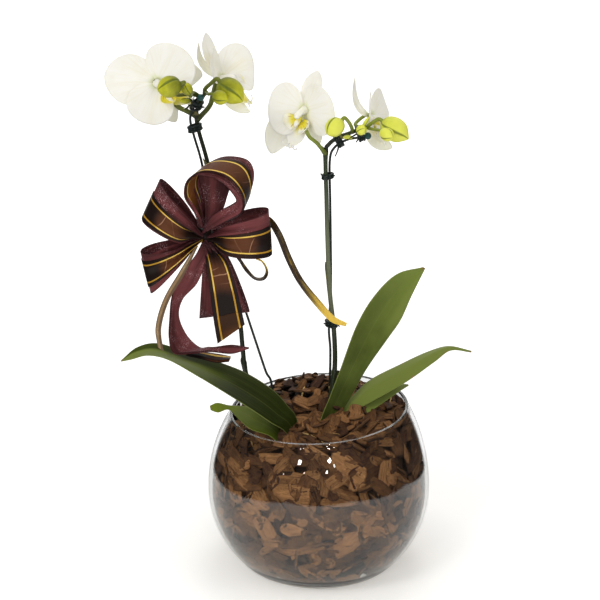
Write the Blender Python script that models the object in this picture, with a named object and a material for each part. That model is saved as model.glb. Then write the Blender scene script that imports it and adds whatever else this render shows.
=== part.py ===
"""A white moth orchid planted in pine bark in a clear glass bowl, with a stake and clips on each
flower spike and a two-layer ribbon bow tied round the left one.

The origin is the centre of the bowl's foot, +Z is up and the bow faces -Y. Lengths are in metres.
"""

import math

import bpy
from mathutils import Matrix, Vector, noise

MM = 0.001
GAP = 0.3 * MM  # clearance between two pieces that touch

# Bowl: two half ellipses, wide at the belly, with a flat foot and a rim that leans a little.
BELLY_RADIUS = 100 * MM
BELLY_HEIGHT = 72 * MM
FOOT_RADIUS = 65 * MM
RIM_RADIUS = 80 * MM
RIM_HEIGHT = 148 * MM
RIM_LEAN = math.radians(3)
GLASS = 3 * MM
FOOT_THICKNESS = 7 * MM

# Bark: heaped in the middle over the crown, lower at the left wall.
BARK_EDGE_HEIGHT = 143 * MM
HEAP_HEIGHT = 25 * MM
HEAP_CENTRE = (-2 * MM, 12 * MM)
HEAP_SPREAD = 33 * MM
BARK_LUMP = 4 * MM

# Plant
CROWN_CENTRE = Vector((-8, -40, 0)) * MM
CROWN_RADIUS = 8 * MM
CROWN_TOP = 136 * MM
CROWN_FOOT = 92 * MM
ROOT_COUNT = 7
ROOT_RADIUS = 2.4 * MM
LEAF_THICKNESS = 1.8 * MM
LEAF_SLOT = 1.1 * MM  # how much wider than a leaf its slot in the bark is, on each side
SPIKE_RADIUS = 2.3 * MM
STALK_RADIUS = 1.5 * MM
STAKE_RADIUS = 1.1 * MM
BALL_RADIUS = 3 * MM

# Flowers
SEPAL_LENGTH = 41 * MM
SEPAL_WIDTH = 27 * MM
PETAL_LENGTH = 40 * MM
PETAL_WIDTH = 47 * MM
TEPAL_THICKNESS = 0.7 * MM
CLAW_WIDTH = 3.4 * MM
HUB_RADIUS = 2.6 * MM
COLUMN_RADIUS = 2.2 * MM
COLUMN_LENGTH = 8 * MM
PETAL_LAYER = 2.2 * MM

# Bow
BOW_CENTRE = Vector((-99, -19, 320)) * MM
KNOT_RADIUS = 7.5 * MM
KNOT_DEPTH = 9 * MM
RIBBON_THICKNESS = 0.8 * MM
CURL_THICKNESS = 0.6 * MM


def mm(x, y, z):
    """A point given in millimetres."""
    return Vector((x, y, z)) * MM


# Materials and objects


def material(name, colour, roughness, metallic=0.0, transmission=0.0):
    made = bpy.data.materials.new(name)
    made.use_nodes = True
    shader = made.node_tree.nodes["Principled BSDF"]
    shader.inputs["Base Color"].default_value = (*colour, 1)
    shader.inputs["Roughness"].default_value = roughness
    shader.inputs["Metallic"].default_value = metallic
    shader.inputs["Transmission Weight"].default_value = transmission
    return made


def add_object(name, mesh, finish):
    obj = bpy.data.objects.new(name, mesh)
    obj.data.materials.clear()
    obj.data.materials.append(finish)
    obj.data.shade_smooth()
    bpy.context.scene.collection.objects.link(obj)
    return obj


def closed_mesh(name, rows, caps=True, loop_rows=False):
    """A mesh skinned over rows of points that each run round once, as the rungs of a tube."""
    sides = len(rows[0])
    points = [point for row in rows for point in row]
    faces = []
    for i in range(len(rows) if loop_rows else len(rows) - 1):
        here = i * sides
        there = (i + 1) % len(rows) * sides
        for j in range(sides):
            k = (j + 1) % sides
            faces.append((here + j, here + k, there + k, there + j))
    if caps:
        faces.append(tuple(reversed(range(sides))))
        faces.append(tuple(range(len(points) - sides, len(points))))
    mesh = bpy.data.meshes.new(name)
    mesh.from_pydata(points, [], faces)
    mesh.update()
    return mesh


def combined(base, tool, operation):
    """The exact Boolean of two meshes, as a new mesh."""
    scene = bpy.context.scene.collection.objects
    made = bpy.data.objects.new("base", base)
    cutter = bpy.data.objects.new("tool", tool)
    for obj in (made, cutter):
        scene.link(obj)
    modifier = made.modifiers.new("combine", "BOOLEAN")
    modifier.operation = operation
    modifier.object = cutter
    graph = bpy.context.evaluated_depsgraph_get()
    result = bpy.data.meshes.new_from_object(made.evaluated_get(graph))
    for obj in (made, cutter):
        bpy.data.objects.remove(obj)
    return result


def union_of(meshes):
    whole = meshes[0]
    for mesh in meshes[1:]:
        whole = combined(whole, mesh, "UNION")
    return whole


# Curves and sheets


def through(stations, count):
    """Points on a Catmull-Rom curve through stations, which are tuples or vectors of any length."""
    stations = [tuple(station) for station in stations]
    padded = [
        tuple(2 * a - b for a, b in zip(stations[0], stations[1])),
        *stations,
        tuple(2 * a - b for a, b in zip(stations[-1], stations[-2])),
    ]
    points = []
    for i in range(count):
        place = i / (count - 1) * (len(stations) - 1)
        span = min(int(place), len(stations) - 2)
        t = place - span
        before, start, end, after = padded[span : span + 4]
        points.append(
            tuple(
                0.5
                * (
                    2 * b
                    + (c - a) * t
                    + (2 * a - 5 * b + 4 * c - d) * t**2
                    + (3 * b - a - 3 * c + d) * t**3
                )
                for a, b, c, d in zip(before, start, end, after)
            )
        )
    return points


def tangents_of(points):
    last = len(points) - 1
    return [(points[min(i + 1, last)] - points[max(i - 1, 0)]).normalized() for i in range(last + 1)]


def tube(points, radii, sides=8):
    """A closed tube along points, turned as little as possible from ring to ring."""
    points = [Vector(point) for point in points]
    tangents = tangents_of(points)
    side = tangents[0].orthogonal().normalized()
    rings = []
    for point, tangent, radius in zip(points, tangents, radii):
        side = (side - tangent * side.dot(tangent)).normalized()
        other = tangent.cross(side)
        turns = [math.tau * k / sides for k in range(sides)]
        rings.append([point + (side * math.cos(a) + other * math.sin(a)) * radius for a in turns])
    return closed_mesh("tube", rings)


def even_tube(stations, radius, count, end_radius=None, sides=8):
    """A tube through stations whose radius runs evenly to end_radius."""
    last = radius if end_radius is None else end_radius
    radii = [radius + (last - radius) * i / (count - 1) for i in range(count)]
    return tube(through(stations, count), radii, sides)


def slab(grid, thickness):
    """A closed sheet of even thickness round a grid of middle points."""
    rows = len(grid)
    columns = len(grid[0])
    upper = []
    lower = []
    for i in range(rows):
        for j in range(columns):
            along = grid[min(i + 1, rows - 1)][j] - grid[max(i - 1, 0)][j]
            across = grid[i][min(j + 1, columns - 1)] - grid[i][max(j - 1, 0)]
            normal = across.cross(along).normalized()
            half = thickness / 2
            upper.append(grid[i][j] + normal * half)
            lower.append(grid[i][j] - normal * half)
    faces = []
    base = rows * columns
    for i in range(rows - 1):
        for j in range(columns - 1):
            a = i * columns + j
            quad = (a, a + 1, a + columns + 1, a + columns)
            faces.append(quad)
            faces.append(tuple(base + k for k in reversed(quad)))
    rim = [j for j in range(columns)]
    rim += [i * columns + columns - 1 for i in range(1, rows)]
    rim += [(rows - 1) * columns + j for j in range(columns - 2, -1, -1)]
    rim += [i * columns for i in range(rows - 2, 0, -1)]
    for a, b in zip(rim, rim[1:] + rim[:1]):
        faces.append((b, a, base + a, base + b))
    mesh = bpy.data.meshes.new("slab")
    mesh.from_pydata(upper + lower, [], faces)
    mesh.update()
    return mesh


def blade_grid(left, right, rows, columns, dip=0.0):
    """Middle points of a blade between two edges, dipped along its middle by dip of its width."""
    left = [Vector(point) for point in through(left, rows)]
    right = [Vector(point) for point in through(right, rows)]
    spine = tangents_of([(a + b) / 2 for a, b in zip(left, right)])
    grid = []
    for a, b, tangent in zip(left, right, spine):
        down = tangent.cross(b - a) * dip
        shares = [j / (columns - 1) for j in range(columns)]
        grid.append([a + (b - a) * u + down * (1 - abs(2 * u - 1)) for u in shares])
    return grid


def two_edges(stations):
    """Splits stations of six numbers in millimetres into a left and a right edge."""
    return (
        [mm(*station[:3]) for station in stations],
        [mm(*station[3:]) for station in stations],
    )


def ribbon(stations, rows, thickness, columns=3):
    left, right = two_edges(stations)
    return slab(blade_grid(left, right, rows, columns), thickness)


# Bowl and bark


def bowl_radius(height):
    """Outer radius of the glass at a height."""
    low = height < BELLY_HEIGHT
    reach = BELLY_HEIGHT if low else RIM_HEIGHT - BELLY_HEIGHT
    end = FOOT_RADIUS if low else RIM_RADIUS
    depth = reach / math.sqrt(1 - (end / BELLY_RADIUS) ** 2)
    return BELLY_RADIUS * math.sqrt(1 - ((height - BELLY_HEIGHT) / depth) ** 2)


def lean(point):
    """Leans the top of the bowl, more towards the rim."""
    share = max(0.0, (point.z - BELLY_HEIGHT) / (RIM_HEIGHT - BELLY_HEIGHT)) ** 2
    return Vector((point.x, point.y, point.z + point.x * math.tan(RIM_LEAN) * share))


def turned(profile, sides):
    """Rings round Z for a profile of (radius, height) pairs."""
    turns = [math.tau * k / sides for k in range(sides)]
    return [[Vector((r * math.cos(a), r * math.sin(a), z)) for a in turns] for r, z in profile]


def glass_bowl():
    steps = 8
    outer = [(FOOT_RADIUS - 3 * MM, 0.0), (FOOT_RADIUS - 0.8 * MM, 1.2 * MM)]
    for i in range(steps + 1):
        height = 4 * MM + (RIM_HEIGHT - 4 * MM) * i / steps
        outer.append((bowl_radius(height), height))
    rim = [
        (RIM_RADIUS - 0.2 * MM, RIM_HEIGHT + 1.2 * MM),
        (RIM_RADIUS - GLASS / 2, RIM_HEIGHT + 1.8 * MM),
        (RIM_RADIUS - GLASS + 0.2 * MM, RIM_HEIGHT + 1.2 * MM),
    ]
    inner = []
    for i in range(steps + 1):
        height = RIM_HEIGHT - (RIM_HEIGHT - FOOT_THICKNESS) * i / steps
        inner.append((bowl_radius(height) - GLASS, height))
    inner.append((20 * MM, FOOT_THICKNESS))
    rings = turned(outer + rim + inner, 32)
    return closed_mesh("bowl", [[lean(point) for point in ring] for ring in rings])


def heap_height(x, y):
    """Height of the bark's surface above the foot."""
    away = (x - HEAP_CENTRE[0]) ** 2 + (y - HEAP_CENTRE[1]) ** 2
    heap = HEAP_HEIGHT * math.exp(-away / (2 * HEAP_SPREAD**2))
    left = min(1.0, max(0.0, (-x - 15 * MM) / (50 * MM)))
    return BARK_EDGE_HEIGHT + heap - 9 * MM * left


def lumpy(point, amount):
    """How far a lump of bark stands up at a point, from 0 to amount."""
    return amount * (0.5 + 0.5 * noise.noise(point / (9 * MM)))


def bark_bed():
    """Bark that fills the bowl and heaps up in the middle."""
    sides = 30
    wall = GLASS + GAP
    floor = FOOT_THICKNESS + GAP
    rings = turned([(15 * MM, floor), (bowl_radius(FOOT_THICKNESS) - wall - MM, floor)], sides)
    turns = [math.tau * k / sides for k in range(sides)]
    for i in range(1, 11):
        share = i / 10
        ring = []
        for a in turns:
            rim = bowl_radius(BARK_EDGE_HEIGHT) - wall - 2 * MM
            top = heap_height(rim * math.cos(a), rim * math.sin(a))
            z = floor + (top - floor) * share
            spot = Vector((math.cos(a) * BELLY_RADIUS, math.sin(a) * BELLY_RADIUS, z))
            r = bowl_radius(z) - wall - lumpy(spot, BARK_LUMP)
            ring.append(lean(Vector((r * math.cos(a), r * math.sin(a), z))))
        rings.append(ring)
    edge = rings[-1]
    for i in range(1, 11):
        share = 1 - i / 11
        ring = []
        for point in edge:
            x = point.x * share
            y = point.y * share
            lump = lumpy(Vector((x, y, 0)), BARK_LUMP) - BARK_LUMP / 2
            ring.append(Vector((x, y, heap_height(x, y) + lump)))
        rings.append(ring)
    return closed_mesh("bark", rings)


# Crown, roots and leaves


def crown_shapes(clearance):
    """The crown and its roots, fatter by a clearance when they are to cut their hole in the bark."""
    heights = [CROWN_FOOT, CROWN_FOOT + 12 * MM, CROWN_TOP - 26 * MM, CROWN_TOP - 6 * MM, CROWN_TOP]
    widths = [0.45, 0.8, 1.0, 1.0, 0.55]
    centres = [CROWN_CENTRE + Vector((0, 0, height)) for height in heights]
    shapes = [tube(centres, [CROWN_RADIUS * width + clearance for width in widths], 12)]
    for k in range(ROOT_COUNT):
        turn = math.tau * k / ROOT_COUNT
        out = Vector((math.cos(turn), math.sin(turn), 0))
        drop = 30 + 12 * math.sin(5 * turn)
        start = CROWN_CENTRE + mm(0, 0, 100 + 4 * (k % 3))
        route = [
            start,
            start + out * 14 * MM - mm(0, 0, 5),
            start + out * 26 * MM - mm(0, 0, drop * 0.55),
            start + out * 31 * MM - mm(0, 0, drop),
            start + out * 27 * MM - mm(0, 0, drop + 20),
        ]
        shapes.append(even_tube(route, ROOT_RADIUS + clearance, 8, ROOT_RADIUS * 0.7 + clearance, 6))
    return union_of(shapes)


# Each leaf from its base to its tip: one edge and then the other, in millimetres.
LEAVES = {
    "leaf_left_large": [
        (-17.4, -44, 125, -17.4, -36, 127),
        (-30, -55, 150, -20, -40, 156),
        (-42, -63, 162, -28, -39, 168),
        (-59, -68, 177, -40, -36, 181),
        (-82, -68, 193, -62, -32, 195),
        (-106, -64, 207, -86, -28, 204),
        (-131, -57, 219, -116, -28, 214),
        (-149, -50, 220, -141, -29, 223),
        (-163, -44, 214, -159, -33, 221),
        (-173, -40.5, 210.5, -172.5, -39, 211.5),
    ],
    "leaf_left_small": [
        (-17.4, -45, 113, -17.4, -37, 114),
        (-30, -57, 133, -27, -43, 137),
        (-43, -60, 148, -41, -43, 154),
        (-60, -52, 151, -52, -30, 158),
        (-72, -30, 152, -64, -16, 157),
        (-81, -9, 151, -80, -4, 153),
        (-90, -6, 147, -91, 6, 151),
        (-97, -1, 147, -98, 4, 149),
    ],
    "leaf_right_tall": [
        (2.1, -46, 124, 2.1, -35.5, 125),
        (0, -44, 151, 13, -32, 147),
        (9, -32, 173, 26, -20, 164),
        (18, -22, 194, 42, -4, 188),
        (33, -2, 229, 61, 13, 210),
        (49, 12, 252, 73, 24, 224),
        (69, 26, 267, 83, 33, 244),
        (93, 40, 268.5, 95, 40.5, 267),
    ],
    "leaf_right_low": [
        (1.0, -35.4, 119, -1.8, -32, 120),
        (15, -29, 141, 10, -20, 146),
        (32, -24, 156, 29, -8, 163),
        (56, -15, 167, 46, 3, 175),
        (80, -1, 176, 72, 18, 183),
        (104, 16, 187, 97, 31, 190),
        (119, 30, 192, 117, 38, 193),
        (138, 40, 186, 138, 41.5, 187),
    ],
    "leaf_right_under": [
        (1.4, -45, 114, 1.4, -39, 115),
        (20, -35, 136, 18, -27, 138),
        (35, -29, 151, 33, -13, 155),
        (50, -17, 156, 47, 2, 162),
        (70, 5, 161, 66, 18, 165),
        (81, 24, 160, 80.5, 26, 160.5),
    ],
}
LEAF_DIP = {
    "leaf_left_large": 0.1,
    "leaf_left_small": 0.02,
    "leaf_right_tall": 0.12,
    "leaf_right_low": 0.12,
    "leaf_right_under": 0.08,
}


def leaf(name, clearance=0.0):
    """One leaf, wider and thicker by a clearance when it is to cut its slot in the bark."""
    left, right = two_edges(LEAVES[name])
    for edge in (left, right):
        edge[0] += (edge[0] - edge[1]).normalized() * clearance
    for a, b in zip(left, right):
        out = (b - a).normalized() * clearance
        a -= out
        b += out
    return slab(blade_grid(left, right, 14, 5, LEAF_DIP[name]), LEAF_THICKNESS + 2 * clearance)


# Spikes, stakes and clips: routes in millimetres

SPIKE_LEFT = [
    (-11.5, -30.5, 127), (-27, -22, 139), (-47, -9, 153), (-60, -2, 168), (-66, 1, 186),
    (-68, 3, 206), (-71, 4.5, 235), (-81, 3, 275), (-91, 2, 318), (-94, 4, 350),
    (-97, 5, 378), (-104, 5, 406), (-106, 4, 421), (-103, 2, 432), (-98, 1, 441),
]
SPIKE_RIGHT = [
    (-4, -30.5, 128), (3, -24, 148), (11, -13, 170), (14, -3, 192), (13, 0, 224),
    (9, 0, 262), (7, 0, 308), (6, 0, 345), (5, 0, 387), (8, 0, 396),
    (16, 0, 402), (26, 0, 406), (34, 0, 409), (40, 0, 411),
]
STAKE_LEFT = [
    (-33, 20, 60), (-41.5, 12, 160), (-48.5, 11.5, 182), (-65, 11, 237), (-84, 9, 300),
    (-97, 6, 345), (-102, 3, 379), (-108.5, 3, 404), (-111, 1, 419), (-107, -3, 431), (-101.5, -5, 439),
]
STAKE_RIGHT = [
    (6, 8, 60), (9, 7, 150), (10, 5, 200), (8.6, 4.6, 224), (10.2, 4.3, 262), (9.8, 3.6, 308),
    (9.2, 3.2, 345), (8.7, 2.6, 380), (12.6, 1, 392.5), (23, -1, 400), (35, -4.5, 403.5), (41, -7, 405.5),
]

ROUTES = {"left": (SPIKE_LEFT, STAKE_LEFT), "right": (SPIKE_RIGHT, STAKE_RIGHT)}

def ball(centre, radius, axis=Vector((0, 0, 1)), stretch=1.0, steps=8, sides=10, ridge=0.0):
    """A closed round body about centre, stretched along axis, with three low ridges if asked."""
    turn = axis.to_track_quat("Z", "Y")
    rows = []
    for i in range(1, steps):
        polar = math.pi * i / steps
        row = []
        for k in range(sides):
            a = math.tau * k / sides
            wide = radius * math.sin(polar) * (1 + ridge * math.cos(3 * a))
            local = Vector((wide * math.cos(a), wide * math.sin(a), -radius * stretch * math.cos(polar)))
            row.append(centre + turn @ local)
        rows.append(row)
    return closed_mesh("ball", rows)


def stake(route, count):
    points = [mm(*station) for station in route]
    rod = even_tube(points, STAKE_RADIUS, count, sides=6)
    return combined(rod, ball(points[-1], BALL_RADIUS, steps=6, sides=8), "UNION")


# Clip: the side of the plant it is on and its place along that side's spike, from 0 to 1.
CLIPS = {
    "clip_left_upper": ("left", 0.798),
    "clip_left_top": ("left", 0.92),
    "clip_right_low": ("right", 0.33),
    "clip_right_upper": ("right", 0.575),
    "clip_right_bend": ("right", 0.71),
    "clip_right_tip": ("right", 0.905),
}
CLIP_HEIGHT = 5 * MM
CLIP_WALL = 1.3 * MM
CLIP_EAR = 2.4 * MM


def oval_ring(centre, axis, along, half_length, half_width, wall, height, ear=0.0):
    """A flat-sided oval ring round axis, with two ears on one long side."""
    across = axis.cross(along).normalized()
    rows = []
    sides = 18
    for k in range(sides):
        a = math.tau * k / sides
        bump = ear * (max(0, math.cos(a - 1.1)) ** 12 + max(0, math.cos(a - 2.1)) ** 12)
        inner = along * (half_length * math.cos(a)) + across * (half_width * math.sin(a))
        out = (along * math.cos(a) + across * math.sin(a)) * (wall + bump)
        up = axis * (height / 2)
        spot = centre + inner
        rows.append([spot - up, spot + up, spot + up * 0.8 + out, spot - up * 0.8 + out])
    return closed_mesh("ring", rows, caps=False, loop_rows=True)


def clip(name):
    """A small spring clip closed round a spike and its stake."""
    side, place = CLIPS[name]
    spike_route, stake_route = ROUTES[side]
    points = [Vector(point) * MM for point in through(spike_route, 201)]
    index = round(place * 200)
    axis = (points[index + 1] - points[index - 1]).normalized()
    stem = points[index]
    rod = min(
        (Vector(point) * MM for point in through(stake_route, 401)),
        key=lambda point: abs((point - stem).dot(axis)) + (point - stem).length * 0.01,
    )
    along = rod - stem
    along -= axis * along.dot(axis)
    spread = along.length / 2
    return oval_ring(
        stem + along / 2, axis, along.normalized(), spread + SPIKE_RADIUS + GAP, SPIKE_RADIUS + 2 * GAP,
        CLIP_WALL, CLIP_HEIGHT, CLIP_EAR,
    )


# Flowers

# Name: centre, the way it faces, the way its upper sepal points, and its size.
FLOWERS = {
    "flower_far_left": ((-139.5, 6, 449.3), (-0.05, -0.96, 0.27), (-0.97, 0.0, 0.22), 0.96),
    "flower_left": ((-85, 26, 446), (0.86, -0.42, 0.22), (-0.3, 0.0, 0.95), 0.92),
    "flower_middle": ((-13, 8, 424), (-0.62, -0.75, 0.1), (0.3, 0.1, 0.95), 0.9),
    "flower_right": ((44.5, 28, 411), (0.97, -0.2, 0.18), (-0.34, 0.0, 0.94), 0.88),
}
# Angles in the flower's own plane, in degrees, anticlockwise from the right of one whose upper sepal is up.
ANGLES = {
    "flower_far_left": {"sepal_lower_a": 200, "sepal_lower_b": 290, "petal_a": 166, "petal_b": -26},
    "flower_left": {"sepal_lower_a": -2, "sepal_lower_b": 262, "petal_a": 152, "petal_b": 27},
    "flower_middle": {"sepal_lower_a": 240, "sepal_lower_b": 328, "petal_a": 198, "petal_b": 20},
    "flower_right": {"sepal_lower_a": 252, "sepal_lower_b": 342, "petal_a": 150, "petal_b": 25},
}


def flower_frame(name):
    centre, facing, upper, size = FLOWERS[name]
    front = Vector(facing).normalized()
    side = Vector(upper).cross(front).normalized()
    up = front.cross(side)
    turn = Matrix((side, up, front)).transposed().to_4x4()
    return Matrix.Translation(mm(*centre)) @ turn @ Matrix.Scale(size, 4)


def tepal(angle, length, width, layer, lift, arch, peak):
    """A sepal or petal that runs out from the hub at an angle in the flower's own plane."""
    out = Vector((math.cos(angle), math.sin(angle), 0))
    side = Vector((-math.sin(angle), math.cos(angle), 0))
    rows = 7
    columns = 5
    grid = []
    for i in range(rows):
        s = math.sin(math.pi / 2 * i / (rows - 1))
        swell = max(0.0, math.sin(math.pi * s**peak)) ** (0.95 - 0.42 * s)
        half = CLAW_WIDTH / 2 * (1 - s) + width / 2 * swell + 0.4 * MM
        middle = out * (HUB_RADIUS + length * s) + Vector((0, 0, layer + lift * math.sin(1.9 * s)))
        row = []
        for j in range(columns):
            u = 2 * j / (columns - 1) - 1
            back = arch * half * u * u * swell
            bow = out * (-0.12 * half * u * u * s)
            row.append(middle + side * (half * u) + bow - Vector((0, 0, back)))
        grid.append(row)
    return slab(grid, TEPAL_THICKNESS)


def lip():
    """The column with the three lobes of the lip, joined in one body."""
    column = tube(
        [Vector((0, 0, 0.8 * MM)), Vector((0, -0.3 * MM, 4 * MM)), Vector((0, -1.2 * MM, COLUMN_LENGTH))],
        [COLUMN_RADIUS, COLUMN_RADIUS, COLUMN_RADIUS * 0.75],
        8,
    )
    middle = ribbon(
        [
            (-1.5, -0.8, 3.4, 1.5, -0.8, 3.4), (-2.4, -6, 6, 2.4, -6, 6), (-7, -13, 8, 7, -13, 8),
            (-5.5, -18, 8.5, 5.5, -18, 8.5), (-0.8, -23, 8, 0.8, -23, 8),
        ],
        6, 0.9 * MM, 3,
    )
    lobes = []
    for way in (-1, 1):
        stations = [
            (way * 0.8, -2.6, 4, way * 1.2, 0.2, 4), (way * 5.5, -8, 7.5, way * 5.5, 0, 7),
            (way * 9, -9.5, 10, way * 9.6, 0.5, 9.5), (way * 11, -4.5, 12, way * 11.2, -3, 12),
        ]
        if way > 0:
            stations = [station[3:] + station[:3] for station in stations]
        lobes.append(ribbon(stations, 5, 0.9 * MM, 3))
    return union_of([column, middle, *lobes])


def flower_part(flower, part):
    """One sepal, petal or lip in its flower's own frame."""
    if part == "lip":
        return lip()
    angle = math.radians(ANGLES[flower].get(part, 90))
    if part.startswith("petal"):
        return tepal(angle, PETAL_LENGTH, PETAL_WIDTH, PETAL_LAYER, 7 * MM, 0.14, 0.95)
    return tepal(angle, SEPAL_LENGTH, SEPAL_WIDTH, 0, -2 * MM, 0.1, 1.1)


# Bud: centre and direction in which it points away from its stalk, radius and stretch.
BUDS = {
    "bud_left_outer": ((-126, -38, 458), (-0.95, -0.25, -0.2), 8.8, 1.12),
    "bud_left_small": ((-112, -24, 452), (-0.3, -0.4, 0.85), 4.6, 1.3),
    "bud_left_large": ((-74.5, -28, 451), (0.75, -0.3, -0.6), 10.6, 1.25),
    "bud_left_front": ((-83.5, -46, 451), (0.8, -0.5, -0.2), 5.8, 1.15),
    "bud_right_round": ((12.5, -29, 420), (-0.5, -0.4, -0.75), 7.6, 1.15),
    "bud_right_large": ((63, -26, 417), (0.8, -0.25, -0.5), 9.8, 1.3),
    "bud_right_front": ((56, -43, 418), (0.55, -0.8, -0.1), 5.4, 1.35),
}
BUD_STEPS = 7


def bud(name):
    centre, axis, radius, stretch = BUDS[name]
    return ball(mm(*centre), radius * MM, Vector(axis).normalized(), stretch, BUD_STEPS, 12, 0.05)


def to_bud(name):
    """The last stretch of a bud's stalk, ending just short of the bud."""
    centre, axis, radius, stretch = BUDS[name]
    back = -Vector(axis).normalized()
    reach = radius * MM * stretch * math.cos(math.pi / BUD_STEPS) + 3 * GAP
    return [mm(*centre) + back * (reach + 3 * MM), mm(*centre) + back * reach]


def to_flower(name):
    """The last stretch of a flower's stalk, ending in the ring of its sepals."""
    frame = flower_frame(name)
    return [frame @ Vector((0, 0, reach)) for reach in (-12 * MM, -4 * MM, 0.3 * MM)]


def planted_bed():
    """The bark with the holes that the crown, the spikes and the stakes fill."""
    bed = combined(bark_bed(), crown_shapes(GAP), "DIFFERENCE")
    for name in LEAVES:
        bed = combined(bed, leaf(name, LEAF_SLOT), "DIFFERENCE")
    for spike_route, stake_route in ROUTES.values():
        for route, radius in ((spike_route[:5], SPIKE_RADIUS), (stake_route[:4], STAKE_RADIUS)):
            points = [mm(*station) for station in route]
            points[0] += (points[0] - points[1]).normalized() * GAP
            bed = combined(bed, even_tube(points, radius + GAP, 16, sides=8), "DIFFERENCE")
    return bed


def spike(route, count, stalks):
    stem = even_tube([mm(*station) for station in route], SPIKE_RADIUS, count, SPIKE_RADIUS * 0.72, 6)
    branches = [even_tube(stations, STALK_RADIUS, 8, STALK_RADIUS, 6) for stations in stalks]
    return union_of([stem, *branches])


def left_stalks():
    fork = mm(-101, 2, 437)
    tip = mm(-98, 1, 441)
    return [
        [mm(-105.5, 5, 416), mm(-95, 12, 426), mm(-92, 20, 434), *to_flower("flower_left")],
        [mm(-106, 4, 420), mm(-114, 5, 424), mm(-124, 9, 429), *to_flower("flower_far_left")],
        [fork, mm(-110, -1, 441), mm(-121, -20, 446), *to_bud("bud_left_outer")],
        [fork, mm(-107.5, -3, 443), *to_bud("bud_left_small")],
        [tip, mm(-97.5, -8, 447.5), mm(-91.5, -19, 456), *to_bud("bud_left_large")],
        [tip, mm(-96.5, -8, 445), mm(-94, -26, 448), *to_bud("bud_left_front")],
    ]


def right_stalks():
    return [
        [mm(5, 0, 387), mm(-3, 3, 397), mm(-8, 10, 408), *to_flower("flower_middle")],
        [mm(38, 0, 410), mm(33, 12, 412), *to_flower("flower_right")],
        [mm(26.5, 0, 406.5), mm(23, -10, 416), mm(20, -18, 425), *to_bud("bud_right_round")],
        [mm(39, 0, 411), mm(41, -7, 418), mm(45, -15, 424), *to_bud("bud_right_large")],
        [mm(39, 0, 411), mm(43, -14, 414), mm(47, -26, 417), *to_bud("bud_right_front")],
    ]


# Bow loops that lie flat to the front: the two edges seen from the front as (x, z) in
# millimetres from the knot to the fold, the clockwise edge first, and half the depth of the opening.
LOOPS = {
    "bow_loop_upper_left": (
        ((-107, 321), (-122, 317), (-153, 334)), ((-104, 327), (-114, 342), (-137, 370)), 13,
    ),
    "bow_loop_lower_left": (
        ((-104.5, 314), (-117, 300), (-147, 267)), ((-107, 318.5), (-121, 312.5), (-155, 305)), 13,
    ),
    "bow_loop_bottom": (
        ((-95, 313), (-79, 295), (-61, 249)), ((-100.5, 312), (-101, 296), (-105, 243)), 9,
    ),
    "bow_loop_right": (
        ((-91, 323.5), (-78, 333), (-44, 343)), ((-91.5, 317.5), (-81, 306), (-42, 302)), 13,
    ),
}
LOOP_START = 3 * MM  # each end leaves the knot this far before or behind its middle


def bow_loop(name):
    """A loop that leaves the knot in front, folds over at its far end and comes back behind."""
    *edges, depth = LOOPS[name]
    rows = 19
    outlines = [through(edge, 61) for edge in edges]
    grid = []
    for i in range(rows):
        turn = math.pi * i / (rows - 1)
        reach = round(60 * math.sin(turn) ** 0.85)
        y = BOW_CENTRE.y - LOOP_START * math.cos(turn) - depth * MM * math.sin(2 * turn)
        first, second = (mm(outline[reach][0], 0, outline[reach][1]) for outline in outlines)
        row = [first.lerp(second, j / 2) + Vector((0, y, 0)) for j in range(3)]
        grid.append(row)
    return slab(grid, RIBBON_THICKNESS)


# Ribbon pieces: stations of one edge and then the other, in millimetres.
TOP_LOOP = [
    (-102.5, -23, 327.3, -100.5, -14, 328.4), (-107, -36, 345, -101, -9, 354),
    (-115, -43, 362, -102, -8, 369), (-113, -44, 376, -97, -8, 380), (-102, -44, 383, -82, -7, 387),
    (-86, -43, 380, -64, -7, 385), (-74, -42, 371, -57, -8, 376), (-66, -40, 356, -58, -9, 361),
    (-70, -37, 343, -66, -11, 346), (-95.5, -23, 327.2, -93.5, -14, 326.2),
]
TAIL_STRIPED = [
    (-99.8, -23.5, 312.7, -95.5, -23.5, 312.7), (-98, -33, 300, -80, -33, 301),
    (-95, -34, 275, -72, -34, 277), (-92, -32, 245, -67, -32, 252), (-89, -30, 223, -65, -30, 241),
]
TAIL_LEFT = [
    (-104, -23, 313.6, -101.5, -23, 312.6), (-117, -31, 294, -105, -30, 290),
    (-130, -30, 268, -119, -25, 266), (-135, -34, 244, -119, -22, 244),
    (-134, -46, 228, -107, -26, 229), (-118, -50, 221, -97, -35, 223),
    (-96, -47, 218, -83, -39, 221), (-62, -40, 219.5, -63, -38, 221),
]
CURL_LEFT = [
    (-106, -26, 314, -105, -26, 312), (-121, -36, 292, -117, -36, 289), (-135, -40, 268, -130, -40, 267),
    (-142, -43, 244, -137, -43, 243), (-140, -50, 228, -135, -52, 225),
]
CURL_RIGHT = [
    (-97, -10.5, 324.8, -96, -10.5, 323), (-88, -5, 326, -87, -5, 322), (-74, 0, 327, -74, 0, 322),
    (-57, 1, 331, -58, 1, 326), (-43, -4, 331, -47, -4, 327), (-33, -10, 319, -38, -10, 316),
    (-24, -16, 298, -29, -16, 295), (-14, -20, 279, -19, -20, 276), (0, -22, 261, -4, -22, 256),
    (13, -23, 246, 10, -23, 241), (24, -24, 240, 23, -24, 237),
]
CURL_LOOP = [
    (-97, -11, 317, -96, -11, 315.4), (-86, -3, 308, -86, -4, 305), (-73, 0, 302, -73, -4, 300),
    (-63, -3, 293, -63, -8, 292), (-57, -4, 283, -57, -9, 283), (-49, -4, 281, -49, -9, 281),
    (-44, -4, 289, -44, -9, 289), (-48, -2, 299, -48, -7, 299), (-56, 1, 305, -56, -4, 306),
]


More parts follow.
